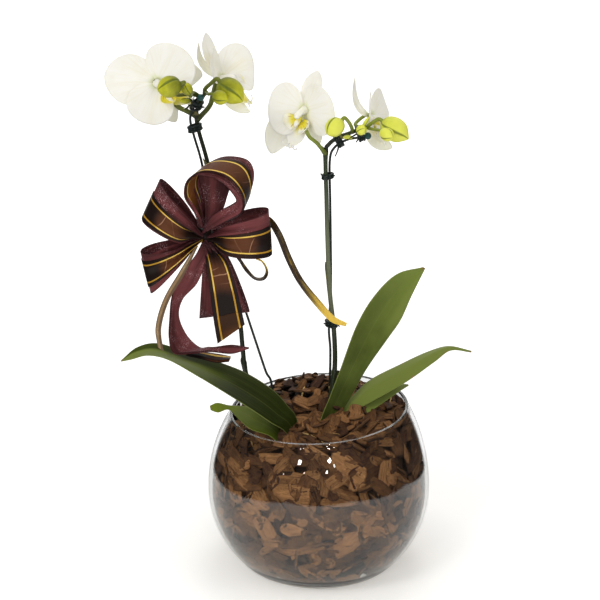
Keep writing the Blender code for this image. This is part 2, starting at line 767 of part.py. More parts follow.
def at_height(route, height):
    """The point of a route, in metres, that is nearest to a height."""
    points = [Vector(point) * MM for point in through(route, 401)]
    return min(points, key=lambda point: abs(point.z - height))


def bow_knot():
    """The gathered middle of the bow, with the tie that holds it to the spike and its stake."""
    middle = ball(BOW_CENTRE, KNOT_RADIUS, Vector((0, 1, 0)), KNOT_DEPTH / KNOT_RADIUS, 8, 12)
    stem = at_height(SPIKE_LEFT, BOW_CENTRE.z)
    rod = at_height(STAKE_LEFT, BOW_CENTRE.z)
    along = rod - stem
    along.z = 0
    half_length = along.length / 2 + SPIKE_RADIUS + GAP
    centre = stem + along / 2
    tie = oval_ring(
        centre, Vector((0, 0, 1)), along.normalized(), half_length, SPIKE_RADIUS + 3 * GAP,
        CLIP_WALL, 6 * MM,
    )
    front = centre - along.normalized() * (half_length + CLIP_WALL / 2)
    neck = even_tube([BOW_CENTRE, BOW_CENTRE.lerp(front, 0.5), front], 2.6 * MM, 4, 2.2 * MM)
    return union_of([middle, neck, tie])


FINISHES = {
    "glass": ((0.95, 0.97, 0.96), 0.03, 0.0, 1.0),
    "bark": ((0.22, 0.09, 0.04), 0.85),
    "root": ((0.45, 0.47, 0.33), 0.7),
    "leaf": ((0.09, 0.16, 0.03), 0.4),
    "stem": ((0.05, 0.1, 0.03), 0.45),
    "petal": ((0.9, 0.88, 0.8), 0.55),
    "lip": ((0.9, 0.78, 0.4), 0.5),
    "bud": ((0.55, 0.62, 0.05), 0.45),
    "stake": ((0.01, 0.02, 0.015), 0.4),
    "clip": ((0.01, 0.02, 0.02), 0.35),
    "ribbon": ((0.12, 0.03, 0.035), 0.5),
    "stripe": ((0.07, 0.02, 0.01), 0.35),
    "curl": ((0.55, 0.32, 0.06), 0.35),
}


def main():
    for obj in list(bpy.data.objects):
        bpy.data.objects.remove(obj)
    finish = {name: material(name, *values) for name, values in FINISHES.items()}
    add_object("glass_bowl", glass_bowl(), finish["glass"])
    add_object("bark_bed", planted_bed(), finish["bark"])
    add_object("crown_with_roots", crown_shapes(0.0), finish["root"])
    for name in LEAVES:
        add_object(name, leaf(name), finish["leaf"])
    add_object("spike_left", spike(SPIKE_LEFT, 28, left_stalks()), finish["stem"])
    add_object("spike_right", spike(SPIKE_RIGHT, 28, right_stalks()), finish["stem"])
    add_object("stake_left", stake(STAKE_LEFT, 26), finish["stake"])
    add_object("stake_right", stake(STAKE_RIGHT, 26), finish["stake"])
    for name in CLIPS:
        add_object(name, clip(name), finish["clip"])
    for flower, angles in ANGLES.items():
        for part in ("sepal_upper", *angles, "lip"):
            look = finish["lip" if part == "lip" else "petal"]
            obj = add_object(f"{flower}_{part}", flower_part(flower, part), look)
            obj.matrix_world = flower_frame(flower)
    for name in BUDS:
        add_object(name, bud(name), finish["bud"])
    add_object("bow_knot", bow_knot(), finish["ribbon"])
    for name in LOOPS:
        add_object(name, bow_loop(name), finish["ribbon"])
    add_object("bow_loop_top", ribbon(TOP_LOOP, 25, RIBBON_THICKNESS, 3), finish["ribbon"])
    add_object("bow_tail_striped", ribbon(TAIL_STRIPED, 12, CURL_THICKNESS, 3), finish["stripe"])
    add_object("bow_tail_left", ribbon(TAIL_LEFT, 20, CURL_THICKNESS, 3), finish["ribbon"])
    add_object("curl_left", ribbon(CURL_LEFT, 16, CURL_THICKNESS, 2), finish["curl"])
    add_object("curl_right", ribbon(CURL_RIGHT, 24, CURL_THICKNESS, 2), finish["curl"])
    add_object("curl_loop", ribbon(CURL_LOOP, 18, CURL_THICKNESS, 2), finish["curl"])


main()
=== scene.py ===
"""The looks of a white moth orchid in a round glass bowl of bark, with a ribbon bow on one spike.

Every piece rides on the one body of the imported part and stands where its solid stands. Lengths
are in metres, or in millimetres where a comment or a docstring says so.
"""

import logging
import random
from collections.abc import Callable, Mapping, Sequence
from dataclasses import dataclass, field, replace
from enum import Enum
from functools import cache
from math import cos, exp, hypot, pi, radians, sin, sqrt, tan, tau

import bpy
from mathutils import Matrix, Vector, noise


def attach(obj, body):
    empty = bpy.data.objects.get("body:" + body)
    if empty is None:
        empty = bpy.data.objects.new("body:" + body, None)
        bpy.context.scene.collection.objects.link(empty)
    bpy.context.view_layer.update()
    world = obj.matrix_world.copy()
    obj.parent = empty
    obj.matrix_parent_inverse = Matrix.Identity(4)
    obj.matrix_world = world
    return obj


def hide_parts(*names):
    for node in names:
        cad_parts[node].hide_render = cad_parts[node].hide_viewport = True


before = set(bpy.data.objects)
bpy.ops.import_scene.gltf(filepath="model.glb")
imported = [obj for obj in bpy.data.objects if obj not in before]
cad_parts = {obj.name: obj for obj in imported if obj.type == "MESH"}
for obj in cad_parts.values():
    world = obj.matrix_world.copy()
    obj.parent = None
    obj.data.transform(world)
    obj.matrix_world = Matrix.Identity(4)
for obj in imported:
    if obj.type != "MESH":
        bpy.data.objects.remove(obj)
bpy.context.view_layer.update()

log = logging.getLogger("orchid")

Pair = tuple[float, float]
Point = tuple[float, float, float]
Colour = tuple[float, float, float]
Grid = Sequence[Sequence[Vector]]
Stations = Sequence[Sequence[float]]
Material = bpy.types.Material
Socket = bpy.types.NodeSocket
# What a socket can be fed with: a number, a colour, a vector, another socket or a Value.
Feed = object

MM = 0.001
UP = Vector((0, 0, 1))
# This share of a turn from one chip to the next spreads them evenly.
GOLDEN_TURN = 0.618034


def mm(x: float, y: float, z: float) -> Vector:
    """A point given in millimetres."""
    return Vector((x, y, z)) * MM


def round_at(radius: float, turn: float, height: float) -> Vector:
    """The point at a radius, a turn and a height."""
    return Vector((radius * cos(turn), radius * sin(turn), height))


def ease(t: float) -> float:
    """A smooth step from 0 to 1."""
    t = min(1.0, max(0.0, t))
    return t * t * (3 - 2 * t)


def curved(a: float, b: float, c: float, d: float, t: float) -> float:
    """The number at a share t from b to c on a smooth curve through all four."""
    bend = 2 * a - 5 * b + 4 * c - d
    return 0.5 * (2 * b + (c - a) * t + bend * t**2 + (3 * b - a - 3 * c + d) * t**3)


def through(stations: Stations, count: int) -> list[tuple[float, ...]]:
    """Points on a smooth curve through stations.

    Args:
        stations: the points to pass, each of any one length.
        count: how many points to return.

    Returns:
        The points, the first and last on the end stations.
    """
    stations = [tuple(station) for station in stations]
    padded = [
        tuple(2 * a - b for a, b in zip(stations[0], stations[1])),
        *stations,
        tuple(2 * a - b for a, b in zip(stations[-1], stations[-2])),
    ]
    points = []
    for i in range(count):
        place = i / (count - 1) * (len(stations) - 1)
        span = min(int(place), len(stations) - 2)
        t = place - span
        points.append(tuple(curved(*four, t) for four in zip(*padded[span : span + 4])))
    return points


def route_of(stations: Stations, count: int) -> list[Vector]:
    """Points along a route given in millimetres."""
    return [Vector(point) * MM for point in through(stations, count)]


def tangents_of(points: Sequence[Vector]) -> list[Vector]:
    """The direction of a route at each of its points."""
    ahead = [*points[1:], points[-1]]
    return [(b - a).normalized() for a, b in zip([points[0], *points[:-1]], ahead)]


def linked(name: str, data: bpy.types.ID) -> bpy.types.Object:
    """Puts a new object into the scene.

    Args:
        name: its name.
        data: its mesh, lamp or camera.

    Returns:
        The object.
    """
    obj = bpy.data.objects.new(name, data)
    bpy.context.scene.collection.objects.link(obj)
    return obj


# Meshes


@dataclass
class Skin:
    """A mesh in the making. Each point has a mark, and may have a grain, that the finishes read."""

    points: list[Vector] = field(default_factory=list)
    faces: list[tuple[int, ...]] = field(default_factory=list)
    marks: list[Point] = field(default_factory=list)
    grains: list[Point] = field(default_factory=list)

    def add(
        self,
        points: Sequence[Vector],
        faces: Sequence[Sequence[int]],
        marks: Sequence[Point],
        grains: Sequence[Point] = (),
    ) -> None:
        """Adds points and the faces between them.

        Args:
            points: the points.
            faces: the faces, as places in the list of points.
            marks: each point's mark.
            grains: each point's grain, if the finish reads one.
        """
        base = len(self.points)
        self.points.extend(points)
        self.faces.extend(tuple(base + k for k in face) for face in faces)
        self.marks.extend(marks)
        self.grains.extend(grains)

    def tube(
        self, points: Sequence[Vector], radii: Sequence[float], sides: int, tone: float = 0.0
    ) -> None:
        """Adds a closed tube.

        Args:
            points: its middle line.
            radii: its radius at each point.
            sides: how many sides it has.
            tone: the third number of each mark.
        """
        side = tangents_of(points)[0].orthogonal().normalized()
        rings, marks = [], []
        for i, (point, tangent, radius) in enumerate(zip(points, tangents_of(points), radii)):
            side = (side - tangent * side.dot(tangent)).normalized()
            other = tangent.cross(side)
            for k in range(sides):
                a = tau * k / sides
                rings.append(point + (side * cos(a) + other * sin(a)) * radius)
                marks.append((i / (len(points) - 1), k / sides, tone))
        self.add(rings, ring_faces(len(points), sides), marks)

    def sheet(
        self,
        grid: Grid,
        thickness: Callable[[float, float], float],
        tone: float = 0.0,
        marks: Sequence[Sequence[Point]] | None = None,
    ) -> None:
        """Adds a closed sheet round a grid of middle points.

        Args:
            grid: the middle points, row by row.
            thickness: the thickness at a share along and a place across from -1 to 1.
            tone: the third number of each mark on the front; the back has it plus 1.
            marks: the first two numbers of each mark, if they aren't the place in the grid.
        """
        rows, columns = len(grid), len(grid[0])
        fronts, backs, places = [], [], []
        for i in range(rows):
            for j in range(columns):
                along = grid[min(i + 1, rows - 1)][j] - grid[max(i - 1, 0)][j]
                across = grid[i][min(j + 1, columns - 1)] - grid[i][max(j - 1, 0)]
                normal = across.cross(along).normalized()
                s, t = i / (rows - 1), 2 * j / (columns - 1) - 1
                half = thickness(s, t) / 2
                fronts.append(grid[i][j] + normal * half)
                backs.append(grid[i][j] - normal * half)
                places.append((s, t, 0.0) if marks is None else marks[i][j])
        base = rows * columns
        faces = []
        for i in range(rows - 1):
            for j in range(columns - 1):
                a = i * columns + j
                quad = (a, a + 1, a + columns + 1, a + columns)
                faces += [quad, tuple(base + k for k in reversed(quad))]
        rim = list(range(columns)) + [i * columns + columns - 1 for i in range(1, rows)]
        rim += [(rows - 1) * columns + j for j in range(columns - 2, -1, -1)]
        rim += [i * columns for i in range(rows - 2, 0, -1)]
        faces += [(b, a, base + a, base + b) for a, b in zip(rim, rim[1:] + rim[:1])]
        shown = [(s, t, side) for side in (tone, tone + 1) for s, t, _ in places]
        self.add([*fronts, *backs], faces, shown)

    def moved(self, matrix: Matrix) -> "Skin":
        """Moves every point by a matrix."""
        self.points = [matrix @ point for point in self.points]
        return self

    def piece(
        self,
        name: str,
        finish: Material,
        slot: str,
        replaces: Sequence[str] = (),
        sharp: float = 180.0,
    ) -> bpy.types.Object:
        """Turns the skin into a piece that rides on the part.

        Args:
            name: the piece's name.
            finish: its material.
            slot: the record's material slot; not used.
            replaces: the solids it stands for.
            sharp: the angle in degrees over which an edge stays sharp.

        Returns:
            The piece's object.
        """
        mesh = bpy.data.meshes.new(name)
        mesh.from_pydata([tuple(point) for point in self.points], [], self.faces)
        for label, values in (("mark", self.marks), ("grain", self.grains)):
            if values:
                layer = mesh.attributes.new(label, "FLOAT_VECTOR", "POINT")
                layer.data.foreach_set("vector", [number for value in values for number in value])
        mesh.materials.append(finish)
        mesh.shade_smooth()
        if sharp < 180:
            mesh.set_sharp_from_angle(angle=radians(sharp))
        mesh.update()
        obj = linked(name, mesh)
        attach(obj, "root")
        if replaces:
            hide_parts(*replaces)
        log.info("%s: %d faces", name, len(self.faces))
        return obj


def ring_faces(rows: int, sides: int) -> list[tuple[int, ...]]:
    """The faces of a closed skin over rings of points.

    Args:
        rows: how many rings there are.
        sides: how many points each ring has.

    Returns:
        The faces, with one at each end.
    """
    faces = []
    for i in range(rows - 1):
        for j in range(sides):
            k = (j + 1) % sides
            faces.append((i * sides + j, i * sides + k, (i + 1) * sides + k, (i + 1) * sides + j))
    return [*faces, tuple(reversed(range(sides))), tuple(range((rows - 1) * sides, rows * sides))]


def edges_of(stations: Stations, rows: int) -> tuple[list[Vector], ...]:
    """The two edges of a strip whose stations hold six numbers in millimetres."""
    parts = slice(0, 3), slice(3, 6)
    return tuple(route_of([station[part] for station in stations], rows) for part in parts)


# Shaders


def operator(operation: str, reflected: bool = False) -> Callable[["Value", Feed], "Value"]:
    """A method that adds the Math node of an operator.

    Args:
        operation: the node's operation.
        reflected: whether the value stands on the right.

    Returns:
        The method.
    """

    def method(value: "Value", other: Feed) -> "Value":
        """The operator's result."""
        return value.shader.math(operation, *((other, value) if reflected else (value, other)))

    return method


class Value:
    """A shader value that reads like a number."""

    __add__, __radd__ = operator("ADD"), operator("ADD", True)
    __sub__, __rsub__ = operator("SUBTRACT"), operator("SUBTRACT", True)
    __mul__, __rmul__ = operator("MULTIPLY"), operator("MULTIPLY", True)

    def __init__(self, shader: "Shader", socket: Socket) -> None:
        """Wraps an output socket."""
        self.shader, self.socket = shader, socket

    def __abs__(self) -> "Value":
        """The size of the value."""
        return self.shader.math("ABSOLUTE", self)

    def between(self, low: float, high: float) -> "Value":
        """How far the value is from low to high.

        Args:
            low: the value that gives 0.
            high: the value that gives 1.

        Returns:
            A value that goes smoothly from 0 to 1.
        """
        values = {"Value": self, "From Min": low, "From Max": high}
        made = self.shader.node("MapRange", {"interpolation_type": "SMOOTHSTEP"}, values)
        return Value(self.shader, made.outputs[0])


class Shader:
    """The nodes of one material or world, written as expressions."""

    def __init__(self, name: str, owner: bpy.types.World | None = None) -> None:
        """Starts with no nodes.

        Args:
            name: the name of the new material.
            owner: the world to shade in place of a material.
        """
        self.owner = owner or bpy.data.materials.new(name)
        self.owner.use_nodes = True
        self.tree = self.owner.node_tree
        self.tree.nodes.clear()

    def node(
        self, kind: str, settings: Mapping[str, object], values: Mapping[str | int, Feed]
    ) -> bpy.types.Node:
        """Adds a node.

        Args:
            kind: its type after ShaderNode.
            settings: its settings, set first; stops are a ramp's (place, colour) pairs.
            values: what each socket holds or is linked to.

        Returns:
            The node.
        """
        made = self.tree.nodes.new("ShaderNode" + kind)
        for name, value in settings.items():
            if name == "stops":
                self.set_stops(made.color_ramp, value)
            else:
                setattr(made, name, value)
        for name, value in values.items():
            if isinstance(value, Value):
                self.tree.links.new(value.socket, made.inputs[name])
            elif isinstance(value, Socket):
                self.tree.links.new(value, made.inputs[name])
            else:
                made.inputs[name].default_value = value
        return made

    def set_stops(self, ramp: bpy.types.ColorRamp, stops: Sequence[tuple[float, Colour]]) -> None:
        """Sets a ramp's colours.

        Args:
            ramp: the ramp.
            stops: its places, each with a colour.
        """
        while len(ramp.elements) < len(stops):
            ramp.elements.new(1.0)
        for element, (place, colour) in zip(ramp.elements, stops):
            element.position = place
            element.color = (*colour, 1.0)

    def math(self, operation: str, a: Feed, b: Feed = 0.0) -> Value:
        """A Math node on two numbers."""
        return Value(self, self.node("Math", {"operation": operation}, {0: a, 1: b}).outputs[0])

    def attribute(self, name: str) -> Socket:
        """The vector that each point has under a name."""
        return self.node("Attribute", {"attribute_name": name}, {}).outputs["Vector"]

    def mark(self) -> list[Value]:
        """The three numbers of a point's mark."""
        parts = self.node("SeparateXYZ", {}, {0: self.attribute("mark")}).outputs
        return [Value(self, part) for part in parts]

    def vector(self, x: Feed, y: Feed, z: Feed) -> Socket:
        """A vector of three numbers."""
        return self.node("CombineXYZ", {}, {0: x, 1: y, 2: z}).outputs[0]

    def scaled(self, vector: Feed, by: Point) -> Socket:
        """A vector times another."""
        return self.node("VectorMath", {"operation": "MULTIPLY"}, {0: vector, 1: by}).outputs[0]

    def place(self) -> Socket:
        """Where the point is in the object."""
        return self.node("TexCoord", {}, {}).outputs["Object"]

    def noise(self, vector: Feed, scale: float, detail: float = 3.0, rough: float = 0.55) -> Value:
        """Cloudy noise from 0 to 1."""
        values = {"Vector": vector, "Scale": scale, "Detail": detail, "Roughness": rough}
        return Value(self, self.node("TexNoise", {}, values).outputs[0])

    def clouds(self, scale: float, detail: float = 3.0) -> Value:
        """Noise over the object's own places."""
        return self.noise(self.place(), scale, detail)

    def cells(self, vector: Feed, scale: float) -> Value:
        """The distance from the middle of random cells."""
        made = self.node("TexVoronoi", {"feature": "F1"}, {"Vector": vector, "Scale": scale})
        return Value(self, made.outputs["Distance"])

    def ramp(self, value: Feed, *stops: tuple[float, Colour]) -> Socket:
        """A colour for a value from 0 to 1."""
        return self.node("ValToRGB", {"stops": stops}, {0: value}).outputs[0]

    def mix(self, share: Feed, a: Feed, b: Feed) -> Socket:
        """A share of colour b over colour a."""
        a, b = ((*colour, 1.0) if isinstance(colour, tuple) else colour for colour in (a, b))
        return self.node("Mix", {"data_type": "RGBA"}, {0: share, 6: a, 7: b}).outputs[2]

    def layered(self, share: Feed, a: Socket, b: Socket) -> Socket:
        """A share of shading b over shading a."""
        return self.node("MixShader", {}, {0: share, 1: a, 2: b}).outputs[0]

    def bump(self, height: Feed, distance: float, strength: float = 1.0) -> Socket:
        """A normal bent by a height in metres."""
        values = {"Height": height, "Distance": distance, "Strength": strength}
        return self.node("Bump", {}, values).outputs[0]

    def surface(self, **sockets: Feed) -> Socket:
        """The shading of a Principled shader.

        Args:
            sockets: what its sockets hold or are linked to, by their names in small letters.

        Returns:
            The shading.
        """
        values = {}
        for name, value in sockets.items():
            label = name.replace("_", " ").title().replace("Ior", "IOR")
            colour = isinstance(value, tuple) and label != "Subsurface Radius"
            values[label] = (*value, 1.0) if colour else value
        return self.node("BsdfPrincipled", {}, values).outputs[0]

    def finished(self, shading: Socket) -> Material:
        """The material with this shading as its surface."""
        self.node("OutputMaterial", {}, {"Surface": shading})
        return self.owner

    def dressed(self, **sockets: Feed) -> Material:
        """The material as a Principled surface; its sockets are as in surface."""
        return self.finished(self.surface(**sockets))


# Finishes. Each makes its material once, however many pieces wear it.


@dataclass(frozen=True)
class GlassFinish:
    """Clear blown glass that lets the lamps through, with a painted highlight on its rim."""

    tint: Colour = (0.985, 0.99, 0.985)
    ior: float = 1.47
    # How much of the fire-polished rim's bead the painted highlight covers, in white patches.
    frost: float = 0.3

    @cache
    def make(self) -> Material:
        """Builds the material; a mark tells the rim."""
        shader = Shader("bowl_glass")
        rim = shader.mark()[0]
        patches = shader.clouds(45.0, 2.0).between(0.3, 0.65)
        # The opaque white of the painted highlight on the rim.
        rim_highlight_white = shader.surface(base_color=(0.9, 0.92, 0.92), roughness=0.3)
        glass = shader.surface(
            base_color=self.tint, roughness=0.0, ior=self.ior, transmission_weight=1.0
        )
        clear = shader.node("BsdfTransparent", {}, {0: (*self.tint, 1.0)}).outputs[0]
        lamps = shader.node("LightPath", {}, {}).outputs["Is Shadow Ray"]
        edged = shader.layered(rim * patches * self.frost, glass, rim_highlight_white)
        return shader.finished(shader.layered(lamps, edged, clear))


@dataclass(frozen=True)
class BarkFinish:
    """Conifer bark: red-brown fibres, dark cracks, and painted shade on chip edges and in the
    depths.
    """

    dark: Colour = (0.035, 0.014, 0.008)
    brown: Colour = (0.15, 0.067, 0.022)
    buff: Colour = (0.42, 0.2, 0.075)
    straw: Colour = (0.75, 0.52, 0.2)
    # The dark of the cracks, also painted as shade on chip edges, sides and deep points.
    crack_and_shade_dark: Colour = (0.006, 0.0035, 0.003)

    @cache
    def make(self) -> Material:
        """Builds the material; a grain holds millimetres along and across, and a mark the tone."""
        shader = Shader("bark")
        # The mark holds the tone, the painted shade of lying deep, and how far a point is from the
        # chip's front.
        tone, shade, face = shader.mark()
        grain = shader.attribute("grain")
        fibres = shader.noise(shader.scaled(grain, (0.12, 2.6, 2.6)), 1.0, 4.0, 0.7)
        strands = shader.noise(shader.scaled(grain, (0.07, 0.8, 0.8)), 1.0, 3.0, 0.6)
        plates = shader.noise(shader.scaled(grain, (0.16, 0.25, 0.25)), 1.0, 4.0)
        splits = shader.noise(shader.scaled(grain, (0.09, 0.7, 0.7)), 1.0, 4.0, 0.6)
        cracks = splits.between(0.6, 0.64)
        base = shader.ramp(
            tone + (plates - 0.5) * 0.5 + (strands - 0.5) * 0.4,
            (0.0, self.dark),
            (0.42, self.brown),
            (0.8, self.buff),
            (1.0, self.straw),
        )
        streaked = shader.mix(fibres.between(0.42, 0.7) * 0.6, base, self.dark)
        cracked = shader.mix(cracks * 0.65, streaked, self.crack_and_shade_dark)
        # Painted shade: a dark rim round each chip's face and darker sides, for the shadow between
        # chips.
        rim = face.between(0.02, 0.3) * (1 - face.between(0.4, 0.7))
        edged = shader.mix(rim * 0.4, cracked, self.crack_and_shade_dark)
        shaded_sides = shader.mix(face.between(0.45, 0.9) * 0.85, edged, self.crack_and_shade_dark)
        height = fibres * 0.5 + strands * 0.8 + plates * 0.5 - cracks * 0.6
        return shader.dressed(
            # Points that lie deep between the chips go dark: painted shade.
            base_color=shader.mix(shade, shaded_sides, self.crack_and_shade_dark),
            roughness=0.55 + fibres * 0.25,
            normal=shader.bump(height, 0.0007, 1.0),
            specular_ior_level=0.25,
        )


@dataclass(frozen=True)
class LeafFinish:
    """A thick green leaf: veins along it, a pale margin and a lighter back.

    It darkens towards its base as painted shade. One half of it, -1 or 1, takes a painted highlight
    in the pale colour beyond a share of its length.
    """

    name: str
    # The dark green towards the base, where it is painted shade, and in darker clouds.
    deep: Colour = (0.012, 0.019, 0.0015)
    fresh: Colour = (0.08, 0.115, 0.008)
    # The pale green of the back, also the colour of the painted highlight.
    pale: Colour = (0.19, 0.235, 0.05)
    margin: Colour = (0.27, 0.3, 0.08)
    dry: Colour = (0.24, 0.15, 0.05)
    # How light the leaf is all along, which sets how far the painted shade at its base reaches.
    lightness: float = 0.5
    # The half, the share of the length, the strength and the place across of the painted highlight.
    highlight_side: float = 1.0
    highlight_from: float = 0.5
    highlight_share: float = 0.0
    highlight_across: float = 0.1
    nicks: float = 0.0

    @cache
    def make(self) -> Material:
        """Builds the material; a mark holds the share along, the place across and the side."""
        shader = Shader(self.name)
        along, across, side = shader.mark()
        veins = shader.noise(shader.vector(along * 0.9, across * 19.0, side), 1.0, 4.0, 0.65)
        clouds = shader.clouds(30.0, 3.0)
        # Darker towards the base, with cloudy tone: the darkening is painted shade.
        fresh = (along * 0.65 + clouds * 0.35 + (self.lightness - 0.45)).between(0.1, 0.8)
        upper = shader.mix(fresh, self.deep, self.fresh)
        # A painted highlight on one half of the leaf, beyond a share of its length.
        highlight_from, highlight_to = self.highlight_across - 0.2, self.highlight_across + 0.15
        half = (across * self.highlight_side).between(highlight_from, highlight_to)
        painted_light = half * along.between(self.highlight_from, self.highlight_from + 0.25) * self.highlight_share
        turned = shader.mix(painted_light, upper, self.pale)
        veined = shader.mix(veins.between(0.45, 0.8) * 0.13, turned, self.margin)
        rib = 1 - abs(across).between(0.0, 0.045)
        ribbed = shader.mix(rib * 0.12, veined, self.margin)
        edged = shader.mix(abs(across).between(0.94, 0.99) * 0.45, ribbed, self.margin)
        both = shader.mix(side.between(0.4, 0.6) * 0.8, edged, self.pale)
        spots = shader.clouds(150.0, 3.0).between(0.6, 0.66) * self.nicks
        scars = spots * abs(across).between(0.7, 0.95) * along.between(0.4, 0.6)
        dry = (along + (clouds - 0.5) * 0.04).between(0.975, 1.0)
        tipped = shader.mix(shader.math("MAXIMUM", dry * 0.8, scars), both, self.dry)
        height = veins * 0.5 + shader.clouds(900.0, 2.0) * 0.12
        return shader.dressed(
            base_color=tipped,
            roughness=0.4 + clouds * 0.12,
            normal=shader.bump(height, 0.0004, 0.5),
            specular_ior_level=0.2,
            specular_tint=(0.85, 0.9, 0.4),
            subsurface_weight=0.04,
            subsurface_radius=(0.3, 0.8, 0.1),
            subsurface_scale=0.002,
        )


@dataclass(frozen=True)
class StemFinish:
    """A green spike, from its foot to its tip, and the stalks on it, from the spike out."""

    name: str
    spike: tuple[tuple[float, Colour], ...]
    stalk: tuple[tuple[float, Colour], ...]
    sheath: Colour = (0.16, 0.12, 0.05)
    spot: Colour = (0.02, 0.03, 0.012)

    @cache
    def make(self) -> Material:
        """Builds the material; a mark holds the share along, the turn round, and which it is."""
        shader = Shader(self.name)
        along, _, tone = shader.mark()
        spots = shader.clouds(260.0, 3.0)
        streaks = shader.noise(shader.scaled(shader.place(), (1.0, 1.0, 0.06)), 900.0, 2.0)
        spike, stalk = shader.ramp(along, *self.spike), shader.ramp(along, *self.stalk)
        stem = shader.mix(tone.between(0.4, 0.6), spike, stalk)
        sheathed = shader.mix(tone.between(1.4, 1.6) * 0.7, stem, self.sheath)
        return shader.dressed(
            base_color=shader.mix(spots * 0.3, sheathed, self.spot),
            roughness=0.3 + streaks * 0.16,
            normal=shader.bump(streaks + spots * 0.5, 0.0002, 0.7),
        )


@dataclass(frozen=True)
class PetalFinish:
    """A white tepal with fine veins that fan out from its foot."""

    white: Colour = (0.98, 0.955, 0.86)
    cream: Colour = (0.85, 0.77, 0.52)
    throat: Colour = (0.7, 0.76, 0.35)
    throat_reach: float = 0.12
    name: str = "petal"

    @cache
    def make(self) -> Material:
        """Builds the material; a mark holds the share from the foot and the turn of the fan."""
        shader = Shader(self.name)
        out, fan, side = shader.mark()
        veins = shader.noise(shader.vector(fan * 13.0, out * 1.1, side * 3.0), 1.0, 4.0, 0.6)
        clouds = shader.clouds(40.0, 3.0)
        veiny = veins.between(0.42, 0.8) * (1 - out.between(0.55, 1.0) * 0.6)
        cloudy = clouds.between(0.45, 0.8)
        creamy = shader.mix(veiny * 0.45 + cloudy * 0.35, self.white, self.cream)
        throat = 1 - out.between(0.02, self.throat_reach + 0.1)
        coloured = shader.mix(throat * 0.75, creamy, self.throat)
        frost = shader.cells(shader.place(), 1400.0)
        return shader.dressed(
            base_color=coloured,
            roughness=0.5 - frost * 0.1,
            normal=shader.bump(veins * 0.7 + frost * 0.08, 0.0005, 0.5),
            subsurface_weight=0.35,
            subsurface_radius=(1.0, 0.95, 0.8),
            subsurface_scale=0.0018,
            sheen_weight=0.08,
            specular_ior_level=0.35,
        )


@dataclass(frozen=True)
class LipFinish:
    """A waxy lip: cream lobes, yellow towards the throat, maroon lines."""

    white: Colour = (0.93, 0.91, 0.82)
    yellow: Colour = (0.85, 0.74, 0.05)
    maroon: Colour = (0.36, 0.1, 0.05)
    reach: float = 0.65
    name: str = "lip"

    @cache
    def make(self) -> Material:
        """Builds the material; a mark holds the share from the foot, the turn and the lobe."""
        shader = Shader(self.name)
        out, fan, tone = shader.mark()
        blotch = shader.clouds(170.0, 3.0)
        lobe = tone.between(1.5, 2.5)
        edge = (out + (blotch - 0.5) * 0.3).between(self.reach - 0.4, self.reach)
        coloured = shader.mix((1 - edge) * lobe, self.white, self.yellow)
        streaks = shader.noise(shader.vector(fan * 9.0, out * 1.5, tone), 1.0, 2.0)
        inner = out.between(0.1, 0.3)
        lines = streaks.between(0.6, 0.67) * 0.8 * lobe * inner
        lines = lines * (1 - out.between(0.4, 0.7))
        return shader.dressed(
            base_color=shader.mix(lines, coloured, self.maroon),
            roughness=0.4 + blotch * 0.1,
            normal=shader.bump(blotch, 0.0003, 0.5),
            subsurface_weight=0.3,
            subsurface_radius=(1.0, 0.9, 0.5),
            subsurface_scale=0.0015,
        )


@dataclass(frozen=True)
class BudFinish:
    """A waxy bud, olive near its stalk and lime beyond, with three seams."""

    lime: Colour = (0.62, 0.61, 0.016)
    olive: Colour = (0.15, 0.17, 0.004)
    seam: Colour = (0.09, 0.13, 0.006)
    ripeness: float = 0.5
    name: str = "bud"

    @cache
    def make(self) -> Material:
        """Builds the material; a mark holds the share along, the seam's nearness and the tone."""
        shader = Shader(self.name)
        along, seam, _ = shader.mark()
        clouds = shader.clouds(120.0, 4.0)
        streaks = shader.noise(shader.vector(along * 1.4, seam * 7.0, 0.0), 1.0, 4.0)
        ripe = along * 0.7 + clouds * 0.5 + streaks * 0.25 + self.ripeness - 0.5
        base = shader.mix(ripe.between(0.25, 0.95), self.olive, self.lime)
        line = seam.between(0.8, 0.98)
        return shader.dressed(
            base_color=shader.mix(line * 0.8, base, self.seam),
            roughness=0.38 + clouds * 0.12,
            normal=shader.bump(streaks * 0.6 - line * 0.6, 0.0004, 0.7),
            subsurface_weight=0.15,
            subsurface_radius=(0.8, 1.0, 0.2),
            subsurface_scale=0.002,
        )


@dataclass(frozen=True)
class PlainFinish:
    """A plastic or a coated wire, with fine wear."""

    name: str
    colour: Colour
    worn: Colour
    roughness: float
    metallic: float = 0.0
    scale: float = 500.0

    @cache
    def make(self) -> Material:
        """Builds the material."""
        shader = Shader(self.name)
        wear = shader.clouds(self.scale, 4.0)
        return shader.dressed(
            base_color=shader.mix(wear.between(0.5, 0.75), self.colour, self.worn),
            roughness=self.roughness + wear * 0.15,
            metallic=self.metallic,
            normal=shader.bump(wear, 0.0001, 0.5),
        )


